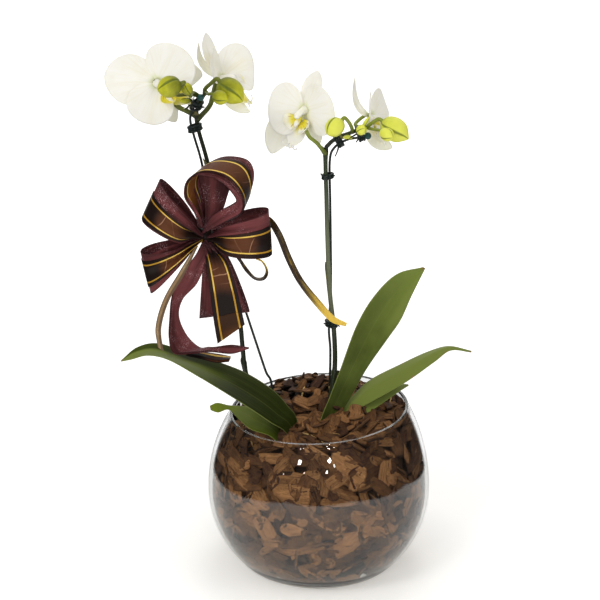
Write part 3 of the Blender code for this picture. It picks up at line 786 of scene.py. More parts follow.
@dataclass(frozen=True)
class ClothFinish:
    """A woven organza ribbon of fine threads with a dark selvedge, painted glints, light and shade.
    """

    name: str
    colour: Colour
    # The dark of the selvedge, also the painted shade in the folds and by the knot.
    deep: Colour
    # The colour of the painted glints.
    glint: Colour
    half_width: float = 0.021
    threads: float = 1400.0

    @cache
    def make(self) -> Material:
        """Builds the material; a mark holds metres along, the place across and the side."""
        shader = Shader(self.name)
        along, across, _ = shader.mark()
        warp = shader.math("SINE", across * (tau * self.threads * self.half_width))
        weft = shader.math("SINE", along * (tau * self.threads))
        weave = warp * weft
        patches = shader.clouds(55.0, 3.0)
        grit = shader.clouds(1100.0, 2.0)
        # Painted glints: bright specks in cloudy patches.
        painted_glints = grit.between(0.52, 0.66) * patches.between(0.46, 0.66)
        folds = shader.noise(shader.vector(across * 2.6, along * 9.0, 0.0), 1.0, 3.0)
        # Painted shade near the knot, and painted light and shade along the folds.
        outside_knot_shade = 0.25 + along.between(0.004, 0.026) * 0.75
        painted_light = folds.between(0.35, 0.62) * outside_knot_shade
        shaded = shader.mix(painted_light, self.deep, self.colour)
        with_painted_glints = shader.mix(painted_glints * 0.6, shaded, self.glint)
        edge = abs(across).between(0.955, 0.98)
        return shader.dressed(
            base_color=shader.mix(edge * 0.7, with_painted_glints, self.deep),
            roughness=0.62 - painted_glints * 0.25,
            normal=shader.bump(weave * 0.35 + grit * 0.8 + folds * 2.0, 0.0002, 0.7),
            specular_ior_level=0.25,
            sheen_weight=0.12,
            sheen_roughness=0.4,
            sheen_tint=(0.75, 0.35, 0.42),
        )


@dataclass(frozen=True)
class StripeFinish:
    """Dark satin with two gold stripes, a dark selvedge, and painted sheen and highlights on
    creases.
    """

    name: str = "striped_ribbon"
    satin: Colour = (0.012, 0.006, 0.005)
    # The colour of the painted sheen that sweeps along the dark satin.
    copper_sheen: Colour = (0.12, 0.038, 0.013)
    selvedge: Colour = (0.012, 0.007, 0.007)
    gold: Colour = (0.55, 0.29, 0.03)
    # The gold of the stripes where the painted sheen falls: a painted highlight.
    gold_highlight: Colour = (1.0, 0.68, 0.14)
    # The light colour of the painted highlights along the creases.
    crease: Colour = (0.55, 0.3, 0.17)
    line: float = 0.66
    half_line: float = 0.055
    # How far apart, in metres, the sweeps of painted sheen come.
    wave: float = 0.062
    crease_gap: float = 0.0085

    @cache
    def make(self) -> Material:
        """Builds the material; a mark holds metres along, the place across and the side."""
        shader = Shader(self.name)
        along, across, side = shader.mark()
        away = abs(abs(across) - self.line)
        gold = 1 - away.between(self.half_line * 0.8, self.half_line * 1.25)
        edge = abs(across).between(self.line, self.line + 0.03)
        # Painted sheen: the satin lightens in sweeps along it.
        sweep = shader.math("COSINE", along * (tau / self.wave)) * -0.5 + 0.5
        cloud = shader.noise(shader.vector(along * 40.0, across * 0.8, side), 1.0, 3.0)
        painted_light = (sweep * 0.75 + cloud * 0.5).between(0.45, 1.1)
        satin = shader.mix(painted_light, self.satin, self.copper_sheen)
        banded = shader.mix(edge * 0.8, satin, self.selvedge)
        # Crease lines across the satin: a bump, and a light colour that is a painted highlight.
        slant = (shader.noise(shader.vector(along * 28.0, 9.0, side), 1.0, 0.0) - 0.5) * 0.07
        jitter = shader.noise(shader.vector(along * 60.0, across * 0.25, side), 1.0, 1.0)
        beat = (along + across * slant) * (tau / self.crease_gap) + jitter * 9.0
        ripple = shader.math("SINE", beat)
        creasy = shader.noise(shader.vector(along * 45.0, 4.0, side), 1.0, 1.0)
        crease = ripple.between(0.9, 1.0) * creasy.between(0.5, 0.6) * (1 - edge)
        creased = shader.mix(crease * (painted_light * 0.8 + 0.2) * 0.7, banded, self.crease)
        # The gold stripes are painted brighter where the sheen falls.
        gold_highlight = shader.mix(painted_light.between(0.05, 0.7) * 0.85, self.gold, self.gold_highlight)
        threads = shader.math("SINE", across * 260.0)
        return shader.dressed(
            base_color=shader.mix(gold, creased, gold_highlight),
            roughness=0.42 - gold * 0.1 + cloud * 0.06,
            metallic=gold * 0.2,
            normal=shader.bump(threads * 0.04 + gold * 0.3 + cloud * 0.4 + crease, 0.0003, 0.6),
            specular_ior_level=0.2,
        )


@dataclass(frozen=True)
class GoldFinish:
    """A thin gold curling ribbon with brown edges, and painted highlights in flecks and at its end.
    """

    name: str = "gold_ribbon"
    gold: Colour = (0.05, 0.026, 0.006)
    # The light gold of the painted highlights.
    painted_gleam: Colour = (0.9, 0.6, 0.08)
    brown: Colour = (0.035, 0.018, 0.008)
    # The share of its length from which the painted highlight takes over.
    gleam_from: float = 0.68

    @cache
    def make(self) -> Material:
        """Builds the material; a mark holds the share along and the place across."""
        shader = Shader(self.name)
        along, across, _ = shader.mark()
        # Painted highlight: light gold in cloudy flecks and beyond a share of the length.
        turn = along.between(self.gleam_from, self.gleam_from + 0.2)
        cloud = shader.noise(shader.vector(along * 14.0, across * 0.5, 0.0), 1.0, 2.0)
        flecked = shader.mix(cloud.between(0.45, 0.7) * 0.35, self.gold, self.painted_gleam)
        base = shader.mix(turn, flecked, self.painted_gleam)
        edge = abs(across + 0.3).between(0.25, 0.55) * (1 - turn)
        ribs = shader.math("SINE", across * 22.0)
        return shader.dressed(
            base_color=shader.mix(edge, base, self.brown),
            roughness=0.34 + edge * 0.1,
            metallic=turn * 0.2 + 0.1,
            normal=shader.bump(ribs * 0.15, 0.0002, 0.6),
        )


# Bowl and bark


@dataclass
class Bowl:
    """The round glass bowl, its rim leaning a little to one side."""

    belly_radius: float = 100 * MM
    belly_height: float = 72 * MM
    foot_radius: float = 65 * MM
    rim_radius: float = 80 * MM
    rim_height: float = 148 * MM
    rim_lean: float = radians(3)
    wall: float = 3 * MM
    foot_thickness: float = 7 * MM
    # In millimetres: the hollow under the foot, as (radius, height), and its round edge, as
    # (inset, height).
    hollow: Sequence[Pair] = ((12, 1.6), (34, 1.3), (54, 0.6))
    foot_edge: Sequence[Pair] = ((4, 0.0), (1.6, 0.4), (0.4, 1.8))
    wall_from: float = 4 * MM
    bead_height: float = 1.4 * MM
    bead_swell: float = 0.25 * MM
    sides: int = 160
    levels: int = 40
    finish: GlassFinish = GlassFinish()

    def radius(self, height: float) -> float:
        """The outer radius of the glass at a height.

        Args:
            height: the height over the table.

        Returns:
            The radius on the belly's upper or lower arc.
        """
        low = height < self.belly_height
        reach = self.belly_height if low else self.rim_height - self.belly_height
        end = self.foot_radius if low else self.rim_radius
        depth = reach / sqrt(1 - (end / self.belly_radius) ** 2)
        share = min(1.0, abs(height - self.belly_height) / depth)
        return self.belly_radius * sqrt(1 - share**2)

    def leaned(self, point: Vector) -> Vector:
        """A point of the upright bowl, moved as the leaning one has it."""
        share = max(0.0, (point.z - self.belly_height) / (self.rim_height - self.belly_height)) ** 2
        return Vector((point.x, point.y, point.z + point.x * tan(self.rim_lean) * share))

    def profile(self) -> list[Pair]:
        """The glass's outline as (radius, height), from under the foot round to the inside."""
        rows = [(radius * MM, height * MM) for radius, height in self.hollow]
        rows += [(self.foot_radius - inset * MM, height * MM) for inset, height in self.foot_edge]
        for i in range(self.levels + 1):
            height = self.wall_from + (self.rim_height - self.wall_from) * i / self.levels
            rows.append((self.radius(height), height))
        for k in range(1, 8):
            turn = pi * k / 8
            bead = self.wall / 2 + self.bead_swell * sin(turn)
            out = self.rim_radius - self.wall / 2 + bead * cos(turn)
            rows.append((out, self.rim_height + self.bead_height * sin(turn)))
        for i in range(self.levels + 1):
            inside = self.rim_height - self.foot_thickness - 5 * MM
            height = self.rim_height - inside * i / self.levels
            rows.append((self.radius(height) - self.wall, height))
        inner, floor = self.radius(self.foot_thickness) - self.wall, self.foot_thickness
        rows += [(inner - 2 * MM, floor + 2 * MM), (inner - 7 * MM, floor)]
        return [*rows, (12 * MM, floor - 0.4 * MM)]

    def build(self) -> None:
        """Makes the bowl; its finish is told where the rim's bead is."""
        rows = self.profile()
        bead = self.rim_height + 1.2 * MM
        skin = Skin()
        points, marks = [], []
        for radius, height in rows:
            for k in range(self.sides):
                points.append(self.leaned(round_at(radius, tau * k / self.sides, height)))
                marks.append((float(height > bead), 0.0, 0.0))
        skin.add(points, ring_faces(len(rows), self.sides), marks)
        skin.piece("glass_bowl_clear", self.finish.make(), "bowl_glass", ["glass_bowl"])


class Lay(Enum):
    """Where a layer of bark lies."""

    WALL = "wall"
    BEHIND = "behind"


@dataclass
class Bark:
    """Loose bark chips that fill the bowl and heap up in its middle."""

    bowl: Bowl
    edge_height: float = 143 * MM
    heap_height: float = 25 * MM
    heap_centre: Pair = (-2 * MM, 12 * MM)
    heap_spread: float = 33 * MM
    heap_radius: float = 77 * MM
    left_drop: float = 9 * MM
    # The chips lower than this lie more level and differ more in tone.
    calm_below: float = 85 * MM
    wall_chips: int = 600
    behind_chips: int = 300
    heap_chips: int = 430
    slivers: int = 34
    # Where chips close up round the leaves and spikes, in millimetres.
    collars: Sequence[Pair] = (
        (-26, -50), (6, -40), (21, -26), (27, -31), (-36, -53),
    )
    # The depth over which the painted shade between the chips deepens.
    dark_depth: float = 5 * MM
    clearance: float = 0.4 * MM
    seed: int = 11
    finish: BarkFinish = BarkFinish()

    def top(self, x: float, y: float) -> float:
        """The height of the bark's surface.

        Args:
            x: how far to the side.
            y: how far back.

        Returns:
            The height over the table.
        """
        away = (x - self.heap_centre[0]) ** 2 + (y - self.heap_centre[1]) ** 2
        heap = self.heap_height * exp(-away / (2 * self.heap_spread**2))
        left = min(1.0, max(0.0, (-x - 15 * MM) / (50 * MM)))
        return self.edge_height + heap - self.left_drop * left

    def inner(self, point: Vector) -> float:
        """The inner radius of the leaning glass at a point's height.

        Args:
            point: the point.

        Returns:
            The radius.
        """
        span = self.bowl.rim_height - self.bowl.belly_height
        share = max(0.0, (point.z - self.bowl.belly_height) / span)
        upright = point.z - point.x * tan(self.bowl.rim_lean) * share**2
        return self.bowl.radius(min(upright, self.bowl.rim_height)) - self.bowl.wall

    def held(self, point: Vector) -> Vector:
        """A point kept inside the glass.

        Args:
            point: the point.

        Returns:
            The point, moved in if it was outside.
        """
        most = self.inner(point) - self.clearance
        over_foot = point.z - self.bowl.foot_thickness
        if over_foot < 6 * MM:
            most -= 5 * MM * (1 - max(0.0, over_foot) / (6 * MM))
        squeeze = min(1.0, most / max(hypot(point.x, point.y), 1e-6))
        height = max(point.z, self.bowl.foot_thickness + self.clearance)
        return Vector((point.x * squeeze, point.y * squeeze, height))

    def shade(self, point: Vector) -> float:
        """How much painted shade a point takes for lying deep between the chips.

        Args:
            point: the point.

        Returns:
            From 0 at the surface to nearly 1.
        """
        behind = self.inner(point) - hypot(point.x, point.y)
        under = self.top(point.x, point.y) + 1.5 * MM - point.z
        return 0.88 * ease((min(behind, under) - 1.2 * MM) / self.dark_depth)

    def outline(self, length: float, width: float, chance: random.Random) -> list[Pair]:
        """A broken flake's outline: long sides along the fibres and ragged ends.

        Args:
            length: the flake's length.
            width: its width.
            chance: the source of its random shape.

        Returns:
            The points, once round.
        """
        ends = [chance.uniform(-0.75, 0.75) for _ in range(2)]
        backs = [chance.uniform(0.35, 0.98) for _ in range(4)]
        sides = [chance.uniform(0.6, 1.0) for _ in range(4)]
        corners = [
            (1.0, ends[0]), (backs[0], sides[0]), (-backs[1], sides[1]),
            (-1.0, ends[1]), (-backs[2], -sides[2]), (backs[3], -sides[3]),
        ]
        points = []
        for here, there in zip(corners, corners[1:] + corners[:1]):
            for j in range(3):
                x = here[0] + (there[0] - here[0]) * j / 3 + chance.uniform(-0.04, 0.04)
                y = here[1] + (there[1] - here[1]) * j / 3 + chance.uniform(-0.05, 0.05)
                swell = 1 + 0.16 * sin(pi * j / 3)
                x, y = x * swell, y * swell
                points.append((x * length / 2, y * width / 2))
        return points

    def chip(
        self,
        skin: Skin,
        place: Matrix,
        size: tuple[float, float, float],
        tone: float,
        chance: random.Random,
    ) -> None:
        """Adds one chip.

        Args:
            skin: the mesh it joins.
            place: its middle and axes; X is along its fibres and Z out of its face.
            size: its length, width and thickness.
            tone: from dark 0 to straw 1.
            chance: the source of its random shape.
        """
        length, width, thick = size
        outline = self.outline(length, width, chance)
        curl = chance.uniform(-0.6, 1.6) * thick / max(width, 4 * MM) ** 2
        bend = chance.uniform(-0.5, 1.0) * thick / max(length, 8 * MM) ** 2
        twist = chance.uniform(-0.3, 0.3)
        away = Vector((chance.uniform(0, 99), chance.uniform(0, 99), chance.uniform(0, 99)))
        # Each ring is (scale, height as a share of the thickness, how far it is from the front);
        # the last sets the painted shade on the chip's rim and sides.
        rings = (
            (0.5, -0.5, 1.0), (0.94, -0.45, 1.0), (1.0, 0.25, 0.6), (0.93, 0.5, 0.0),
            (0.55, 0.55, 0.0),
        )
        local, marks = [], []
        for scale, lift, side in rings:
            for x, y in outline:
                x, y = x * scale, y * scale
                ridge = noise.noise(Vector((x / (14 * MM), y / (2.2 * MM), lift)) + away)
                lump = noise.noise(Vector((x / (6 * MM), y / (6 * MM), lift)) + away)
                z = lift * thick + (ridge * 0.2 + lump * 0.35) * 1.3 * MM
                z += curl * y * y + bend * x * x
                turn = twist * x / length
                local.append(Vector((x, y * cos(turn) - z * sin(turn), y * sin(turn) + z)))
                marks.append(side)
        points = [self.held(place @ point) for point in local]
        grains = [tuple(point / MM + away * 10) for point in local]
        faces = [tuple(reversed(face)) for face in ring_faces(len(rings), len(outline))]
        # Each point's mark: its tone, its painted shade and how far it is from the front.
        full = [(tone, self.shade(point), side) for point, side in zip(points, marks)]
        skin.add(points, faces, full, grains)

    def axes(
        self, middle: Vector, out: Vector, tilt: float, heading: float, chance: random.Random
    ) -> Matrix:
        """The place of a chip.

        Args:
            middle: its middle.
            out: the way that its front faces, more or less.
            tilt: how far it may lean from that.
            heading: how far its fibres are turned from level.
            chance: the source of its random lean.

        Returns:
            Its middle and axes.
        """
        lean = Vector((chance.gauss(0, 1), chance.gauss(0, 1), chance.gauss(0, 1))) * tilt
        front = (out + lean).normalized()
        level = UP.cross(front)
        level = level.normalized() if level.length > 1e-3 else Vector((1, 0, 0))
        along = level * cos(heading) + front.cross(level) * sin(heading)
        turned = Matrix((along, front.cross(along), front)).transposed().to_4x4()
        return Matrix.Translation(middle) @ turned

    def size(self, chance: random.Random, most: float) -> tuple[float, float, float]:
        """A chip's random size.

        Args:
            chance: the source of its size.
            most: its greatest length.

        Returns:
            Its length, width and thickness.
        """
        length = chance.uniform(0.5, 1.0) * most
        width = max(6 * MM, length * chance.uniform(0.32, 0.7))
        return length, width, chance.uniform(1.3, 2.9) * MM

    def tone(self, chance: random.Random) -> float:
        """A chip's random tone."""
        return min(0.66, max(0.12, chance.gauss(0.39, 0.22)))

    def wall_layer(self, lay: Lay, count: int) -> Skin:
        """The chips that lie against the glass, or behind those.

        Args:
            lay: which of the two layers it is.
            count: how many chips it has.

        Returns:
            The layer's mesh.
        """
        chance = random.Random(self.seed + len(lay.value))
        skin = Skin()
        near, far = (6, 10) if lay is Lay.BEHIND else (0.6, 4.5)
        low = self.bowl.foot_thickness + 1 * MM
        rim = self.bowl.rim_radius
        for i in range(count):
            a = tau * ((i * GOLDEN_TURN) % 1) + chance.uniform(-0.06, 0.06)
            share = (i + chance.random()) / count
            z = low + (self.top(rim * cos(a), rim * sin(a)) - 1 * MM - low) * share
            calm = z < self.calm_below
            r = self.bowl.radius(z) - self.bowl.wall - chance.uniform(near, far) * MM
            if z < 14 * MM:
                r -= chance.random() * 18 * MM
            slope = (self.bowl.radius(z + MM) - self.bowl.radius(z - MM)) / (2 * MM)
            out = round_at(1, a, -slope).normalized()
            tilt = 0.75 if chance.random() < 0.2 else 0.2
            heading = chance.gauss(0, 0.5 if calm else 0.9)
            place = self.axes(round_at(r, a, z), out, tilt, heading, chance)
            size = self.size(chance, 30 * MM if chance.random() < 0.7 else 44 * MM)
            tone = self.tone(chance)
            if calm:
                tone = min(0.7, 0.4 + (tone - 0.38) * 1.8)
            self.chip(skin, place, size, tone, chance)
        return skin

    def heap_layer(self) -> Skin:
        """The chips on top, over a lower layer, with pale slivers here and there."""
        chance = random.Random(self.seed * 3)
        skin = Skin()
        for i in range(self.heap_chips + self.slivers):
            sliver = i >= self.heap_chips
            under = i < self.heap_chips * 0.4
            r = self.heap_radius * sqrt((i * 0.7548 + 0.13) % 1)
            a = tau * ((i * GOLDEN_TURN) % 1)
            x, y = r * cos(a), r * sin(a)
            step = 2 * MM
            slope_x = (self.top(x + step, y) - self.top(x - step, y)) / (2 * step)
            slope_y = (self.top(x, y + step) - self.top(x, y - step)) / (2 * step)
            out = Vector((-slope_x, -slope_y, 1)).normalized()
            sink = -5.5 * MM if under else chance.uniform(-2.5, 1.5) * MM
            middle = Vector((x, y, self.top(x, y) + sink))
            tilt = 0.2 if under or r > 62 * MM else 0.34
            place = self.axes(middle, out, tilt, chance.uniform(0, pi), chance)
            if sliver:
                size = (chance.uniform(9, 20) * MM, chance.uniform(1.0, 1.9) * MM, 0.7 * MM)
                self.chip(skin, place, size, chance.uniform(0.85, 1.1), chance)
                continue
            far = y > -14 * MM
            size = self.size(chance, 19 * MM if far else 34 * MM if r < 60 * MM else 26 * MM)
            self.chip(skin, place, size, self.tone(chance) - (0.04 if far else 0.0), chance)
        for x, y in ((x * MM, y * MM) for x, y in self.collars for _ in range(6)):
            x, y = x + chance.gauss(0, 6) * MM, y + chance.gauss(0, 4) * MM
            middle = Vector((x, y, self.top(x, y) + chance.uniform(0, 4) * MM))
            place = self.axes(middle, Vector((0, -0.5, 1)), 0.4, chance.uniform(0, pi), chance)
            self.chip(skin, place, self.size(chance, 24 * MM), self.tone(chance), chance)
        return skin

    def core(self) -> Skin:
        """A body that closes the gaps between the chips, painted dark as shade."""
        sides, inset, sink, rings = 64, 10 * MM, 7 * MM, 12
        turns = [tau * k / sides for k in range(sides)]
        foot = self.bowl.foot_thickness
        levels = [foot + 3 * MM, *(foot + 6 * MM + 13 * MM * i for i in range(10))]
        radii = [self.bowl.radius(z) - self.bowl.wall - inset for z in levels]
        radii[0] -= 9 * MM
        points = [round_at(r, a, z) for r, z in zip(radii, levels) for a in turns]
        for k in range(rings):
            r = radii[-1] * (1 - k / rings)
            for a in turns:
                x, y = r * cos(a), r * sin(a)
                points.append(Vector((x, y, self.top(x, y) - sink)))
        grains = [tuple(point / MM) for point in points]
        skin = Skin()
        faces = ring_faces(len(points) // sides, sides)
        # Each point's painted shade is 0.9, so the body reads as the dark between the chips.
        skin.add(points, faces, [(0.15, 0.9, 0.0)] * len(points), grains)
        return skin

    def build(self) -> None:
        """Makes the bark."""
        finish = self.finish.make()
        self.core().piece("bark_core", finish, "bark", ["bark_bed"])
        layers = {
            "bark_at_wall": self.wall_layer(Lay.WALL, self.wall_chips),
            "bark_behind": self.wall_layer(Lay.BEHIND, self.behind_chips),
            "bark_heap": self.heap_layer(),
        }
        for name, skin in layers.items():
            skin.piece(name, finish, "bark", sharp=32)


# Leaves


@dataclass
class Leaf:
    """A thick strap leaf between two edges, grooved along its middle."""

    name: str
    dip: float
    finish: LeafFinish
    stations: Stations
    rows: int = 72
    columns: int = 25
    thickness: float = 1.8 * MM

    def grid(self) -> Grid:
        """The leaf's middle points."""
        left, right = edges_of(self.stations, self.rows)
        spine = tangents_of([(a + b) / 2 for a, b in zip(left, right)])
        grid = []
        for a, b, tangent in zip(left, right, spine):
            down = tangent.cross(b - a) * self.dip
            row = []
            for j in range(self.columns):
                u = j / (self.columns - 1)
                valley = 1 - sqrt((2 * u - 1) ** 2 + 0.012)
                row.append(a + (b - a) * u + down * valley)
            grid.append(row)
        return grid

    def thick(self, along: float, across: float) -> float:
        """The leaf's thickness, less towards its margin and tip."""
        return self.thickness * (0.25 + 0.75 * sqrt(1 - across**2)) * (1 - 0.45 * along)

    def build(self) -> None:
        """Makes the leaf."""
        skin = Skin()
        skin.sheet(self.grid(), self.thick)
        skin.piece(f"{self.name}_blade", self.finish.make(), "leaf", [self.name])


# The stations run in millimetres from a leaf's base to its tip: one edge and then the other.
LEAVES = (
    Leaf(
        "leaf_left_large", 0.1,
        LeafFinish(
            "leaf_dark",
            lightness=0.12, highlight_side=-1, highlight_from=0.42, highlight_share=0.85, highlight_across=-0.25,
        ),
        (
            (-17.4, -44, 125, -17.4, -36, 127), (-30, -55, 150, -20, -40, 156),
            (-42, -63, 162, -28, -39, 168), (-59, -68, 177, -40, -36, 181),
            (-82, -68, 193, -62, -32, 195), (-106, -64, 207, -86, -28, 204),
            (-131, -57, 219, -116, -28, 214), (-149, -50, 220, -141, -29, 223),
            (-163, -44, 214, -159, -33, 221), (-173, -40.5, 210.5, -172.5, -39, 211.5),
        ),
    ),
    Leaf(
        "leaf_left_small", 0.02,
        LeafFinish("leaf_bright", fresh=(0.16, 0.21, 0.01), lightness=0.42),
        (
            (-17.4, -45, 113, -17.4, -37, 114), (-30, -57, 133, -27, -43, 137),
            (-43, -60, 148, -41, -43, 154), (-60, -52, 151, -52, -30, 158),
            (-72, -30, 152, -64, -16, 157), (-81, -9, 151, -80, -4, 153),
            (-90, -6, 147, -91, 6, 151), (-97, -1, 147, -98, 4, 149),
        ),
    ),
    Leaf(
        "leaf_right_tall", 0.12,
        LeafFinish(
            "leaf_tall",
            fresh=(0.18, 0.235, 0.045), lightness=0.36, highlight_share=0.75, highlight_across=0.55,
        ),
        (
            (2.1, -46, 124, 2.1, -35.5, 125), (0, -44, 151, 13, -32, 147),
            (9, -32, 173, 26, -20, 164), (18, -22, 194, 42, -4, 188), (33, -2, 229, 61, 13, 210),
            (49, 12, 252, 73, 24, 224), (69, 26, 267, 83, 33, 244), (93, 40, 268.5, 95, 40.5, 267),
        ),
    ),
    Leaf(
        "leaf_right_low", 0.12,
        LeafFinish(
            "leaf_low", fresh=(0.13, 0.19, 0.015), lightness=0.2, highlight_share=0.4, nicks=0.9
        ),
        (
            (1.0, -35.4, 119, -1.8, -32, 120), (15, -29, 141, 10, -20, 146),
            (32, -24, 156, 29, -8, 163), (56, -15, 167, 46, 3, 175), (80, -1, 176, 72, 18, 183),
            (104, 16, 187, 97, 31, 190), (119, 30, 192, 117, 38, 193),
            (138, 40, 186, 138, 41.5, 187),
        ),
    ),
    Leaf(
        "leaf_right_under", 0.08,
        # Its very dark greens are painted shade, for it lies under the low leaf.
        LeafFinish("leaf_under_shaded", fresh=(0.035, 0.055, 0.006), lightness=0.1),
        (
            (1.4, -45, 114, 1.4, -39, 115), (20, -35, 136, 18, -27, 138),
            (35, -29, 151, 33, -13, 155), (50, -17, 156, 47, 2, 162), (70, 5, 161, 66, 18, 165),
            (81, 24, 160, 80.5, 26, 160.5),
        ),
    ),
)


# Flowers

TEPALS = ("sepal_upper", "sepal_lower_a", "sepal_lower_b", "petal_a", "petal_b")
PETAL = PetalFinish()
SEPAL = PetalFinish((0.93, 0.91, 0.77), (0.82, 0.81, 0.48), throat_reach=0.25, name="sepal")
GOLDEN_LIP = LipFinish(reach=1.15, name="lip_golden")
GREEN_BUD = BudFinish(ripeness=0.34, name="bud_olive")
LIME_BUD = BudFinish((0.8, 0.82, 0.1), (0.3, 0.34, 0.015), ripeness=0.7, name="bud_lime")


@dataclass(frozen=True)
class Tepal:
    """A sepal or petal. Lengths are in millimetres from the flower's middle.

    The tip is where it reaches, face the way its inner side looks at its middle, width its
    widest, bow how far its middle stands off the straight line, cup how far its sides come
    forward as a share of its width, and point how pointed it is.
    """

    tip: Point
    width: float
    face: Point
    bow: Point = (0.0, 0.0, 0.0)
    cup: float = 0.06
    point: float = 0.0
    twist: float = 0.0
    ruffle: float = 0.6
    widest: float = 0.5
    foot: float = 1.5


@dataclass
class Fan:
    """The mesh of a tepal, fanned out from its foot, which is about twice claw millimetres wide."""

    tepal: Tepal
    rows: int = 18
    columns: int = 49
    thickness: float = 0.6 * MM
    claw: float = 1.9

    def outline(self, turn: float) -> Pair:
        """A point of the flat outline.

        Args:
            turn: the turn from the tip, in radians.

        Returns:
            The share of the length and the share of half the width.
        """
        middle = self.tepal.widest
        c, s = cos(turn), sin(turn)
        x = middle + (1 - middle) * c if c > 0 else middle + middle * c
        x += self.tepal.point * 0.12 * max(0.0, c) ** 12
        narrow = 1 - self.tepal.point * 0.25 * max(0.0, c) ** 2
        return x, s * narrow

    def spread(self, seed: float) -> Callable[[float, float], Vector]:
        """How a flat place on the tepal lies in space.

        Args:
            seed: what its ruffles differ by.

        Returns:
            A function of the millimetres along and across.
        """
        tip, face = Vector(self.tepal.tip), Vector(self.tepal.face).normalized()
        foot = tip.normalized() * self.tepal.foot
        length = tip.length - self.tepal.foot
        bow = Vector(self.tepal.bow)
        half = self.tepal.width / 2

        def laid(along: float, across: float) -> Vector:
            """Where a place along and across the tepal lies."""
            s = along / length
            middle = foot.lerp(tip, s) + bow * (4 * s * (1 - s))
            ahead = (tip - foot + bow * (4 - 8 * s)).normalized()
            front = (face - ahead * face.dot(ahead)).normalized()
            front = Matrix.Rotation(self.tepal.twist * (s - 0.5), 3, ahead) @ front
            side = ahead.cross(front)
            u = across / half
            lift = self.tepal.cup * half * u * u
            ruffle = self.tepal.ruffle
            wave = noise.noise(Vector((u * 1.7 + seed, s * 2.2, seed))) * ruffle * (0.3 + s)
            wave += sin(5.0 * u + seed * 3) * ruffle * 0.5 * abs(u) * s
            crease = -0.5 * exp(-((across / 1.6) ** 2)) * (1 - s)
            middle += side * (across * (1 - 0.12 * self.tepal.cup))
            return middle + front * (lift + wave + crease)

        return laid

    def add_to(self, skin: Skin, centre: Vector, seed: float, tone: float = 0.0) -> None:
        """Adds the tepal to a skin.

        Args:
            skin: the mesh it joins.
            centre: its flower's middle.
            seed: what its ruffles differ by.
            tone: the third number of its marks.
        """
        length = Vector(self.tepal.tip).length - self.tepal.foot
        half = self.tepal.width / 2
        laid = self.spread(seed)
        grid, marks = [], []
        for i in range(self.rows):
            r = 0.06 + 0.94 * (i / (self.rows - 1)) ** 0.85
            row, places = [], []
            for j in range(self.columns):
                turn = pi * 0.985 * (2 * j / (self.columns - 1) - 1)
                x, y = self.outline(turn)
                across = y * half * r
                claw = self.claw * sin(turn) * (1 - r) ** 2
                row.append(centre + laid(x * length * r, across + claw) * MM)
                places.append((r * min(1.0, 0.2 + x), turn / pi, 0.0))
            grid.append(row)
            marks.append(places)
        skin.sheet(grid, lambda s, t: self.thickness * (1.15 - 0.75 * s), tone, marks)


@dataclass
class Flower:
    """One orchid flower: three sepals, two petals, and a lip with its column.

    Its centre is in millimetres.
    """

    name: str
    centre: Point
    facing: Point
    upper: Point
    size: float
    tepals: Sequence[Tepal]
    seed: float
    lip_finish: LipFinish = LipFinish()

    def frame(self) -> Matrix:
        """The flower's own axes: X to its side, Y to its upper sepal and Z out of its face."""
        front = Vector(self.facing).normalized()
        side = Vector(self.upper).cross(front).normalized()
        turn = Matrix((side, front.cross(side), front)).transposed().to_4x4()
        return Matrix.Translation(mm(*self.centre)) @ turn @ Matrix.Scale(self.size, 4)

    def lip(self) -> Skin:
        """The column and the lobes of the lip, in the flower's own axes."""
        skin = Skin()
        column = ((0, 0, -1.4), (0, 0, 2.4), (0, -1.2, 7), (0, -3.2, 10), (0, -5, 11.2))
        widths = (1.5, 3.6, 3.2, 2.6, 2.4, 2.4, 2.45, 2.5, 2.5, 2.3, 1.8, 0.8)
        skin.tube(route_of(column, len(widths)), [width * MM for width in widths], 20)
        callus = ((0, -5.0, 3.0), (0, -7.6, 6.0), (0, -10.0, 8.4), (0, -11.8, 9.4))
        widths = (1.0, 1.6, 1.9, 2.0, 1.9, 1.6, 1.1, 0.3)
        skin.tube(route_of(callus, len(widths)), [width * MM for width in widths], 14, 2.4)
        for way in (-1, 1):
            lobe = Tepal(
                (way * 8.5, -6.5, 9.5), 14.0, (-way * 0.75, 0.5, 0.5), (way * 3.0, -1.5, -1.5),
                0.3, 0.0, 0.0, 0.25, 0.6, 2.5,
            )
            fan = Fan(lobe, 10, 33, 0.75 * MM)
            fan.add_to(skin, Vector((0, -6.0, 2.4)) * MM, self.seed + way, 2.6)
            curl = (
                (way * 1.2, -26.5, 8.4), (way * 3.2, -29.0, 8.0), (way * 5.8, -28.0, 9.4),
                (way * 6.6, -25.4, 10.4), (way * 5.0, -24.2, 10.0),
            )
            skin.tube(route_of(curl, 18), [(0.8 - 0.03 * k) * MM for k in range(18)], 8)
        middle = Tepal(
            (0, -20.5, 6.5), 16.0, (0, 0.3, 0.95), (0, 1.0, -2.2), 0.22, 0.8, 0.0, 0.3, 0.56, 3.0
        )
        fan = Fan(middle, 12, 37, 0.8 * MM)
        fan.add_to(skin, Vector((0, -7.0, 1.6)) * MM, self.seed, 2.4)
        return skin

    def build(self) -> None:
        """Makes the flower."""
        for k, (part, tepal) in enumerate(zip(TEPALS, self.tepals)):
            name = f"{self.name}_{part}"
            finish = SEPAL if part.startswith("sepal_lower") else PETAL
            skin = Skin()
            Fan(tepal).add_to(skin, mm(*self.centre), self.seed + k)
            skin.piece(f"{name}_soft", finish.make(), "petal", [name])
        name, lip = f"{self.name}_lip", self.lip().moved(self.frame())
        lip.piece(f"{name}_soft", self.lip_finish.make(), "lip", [name])


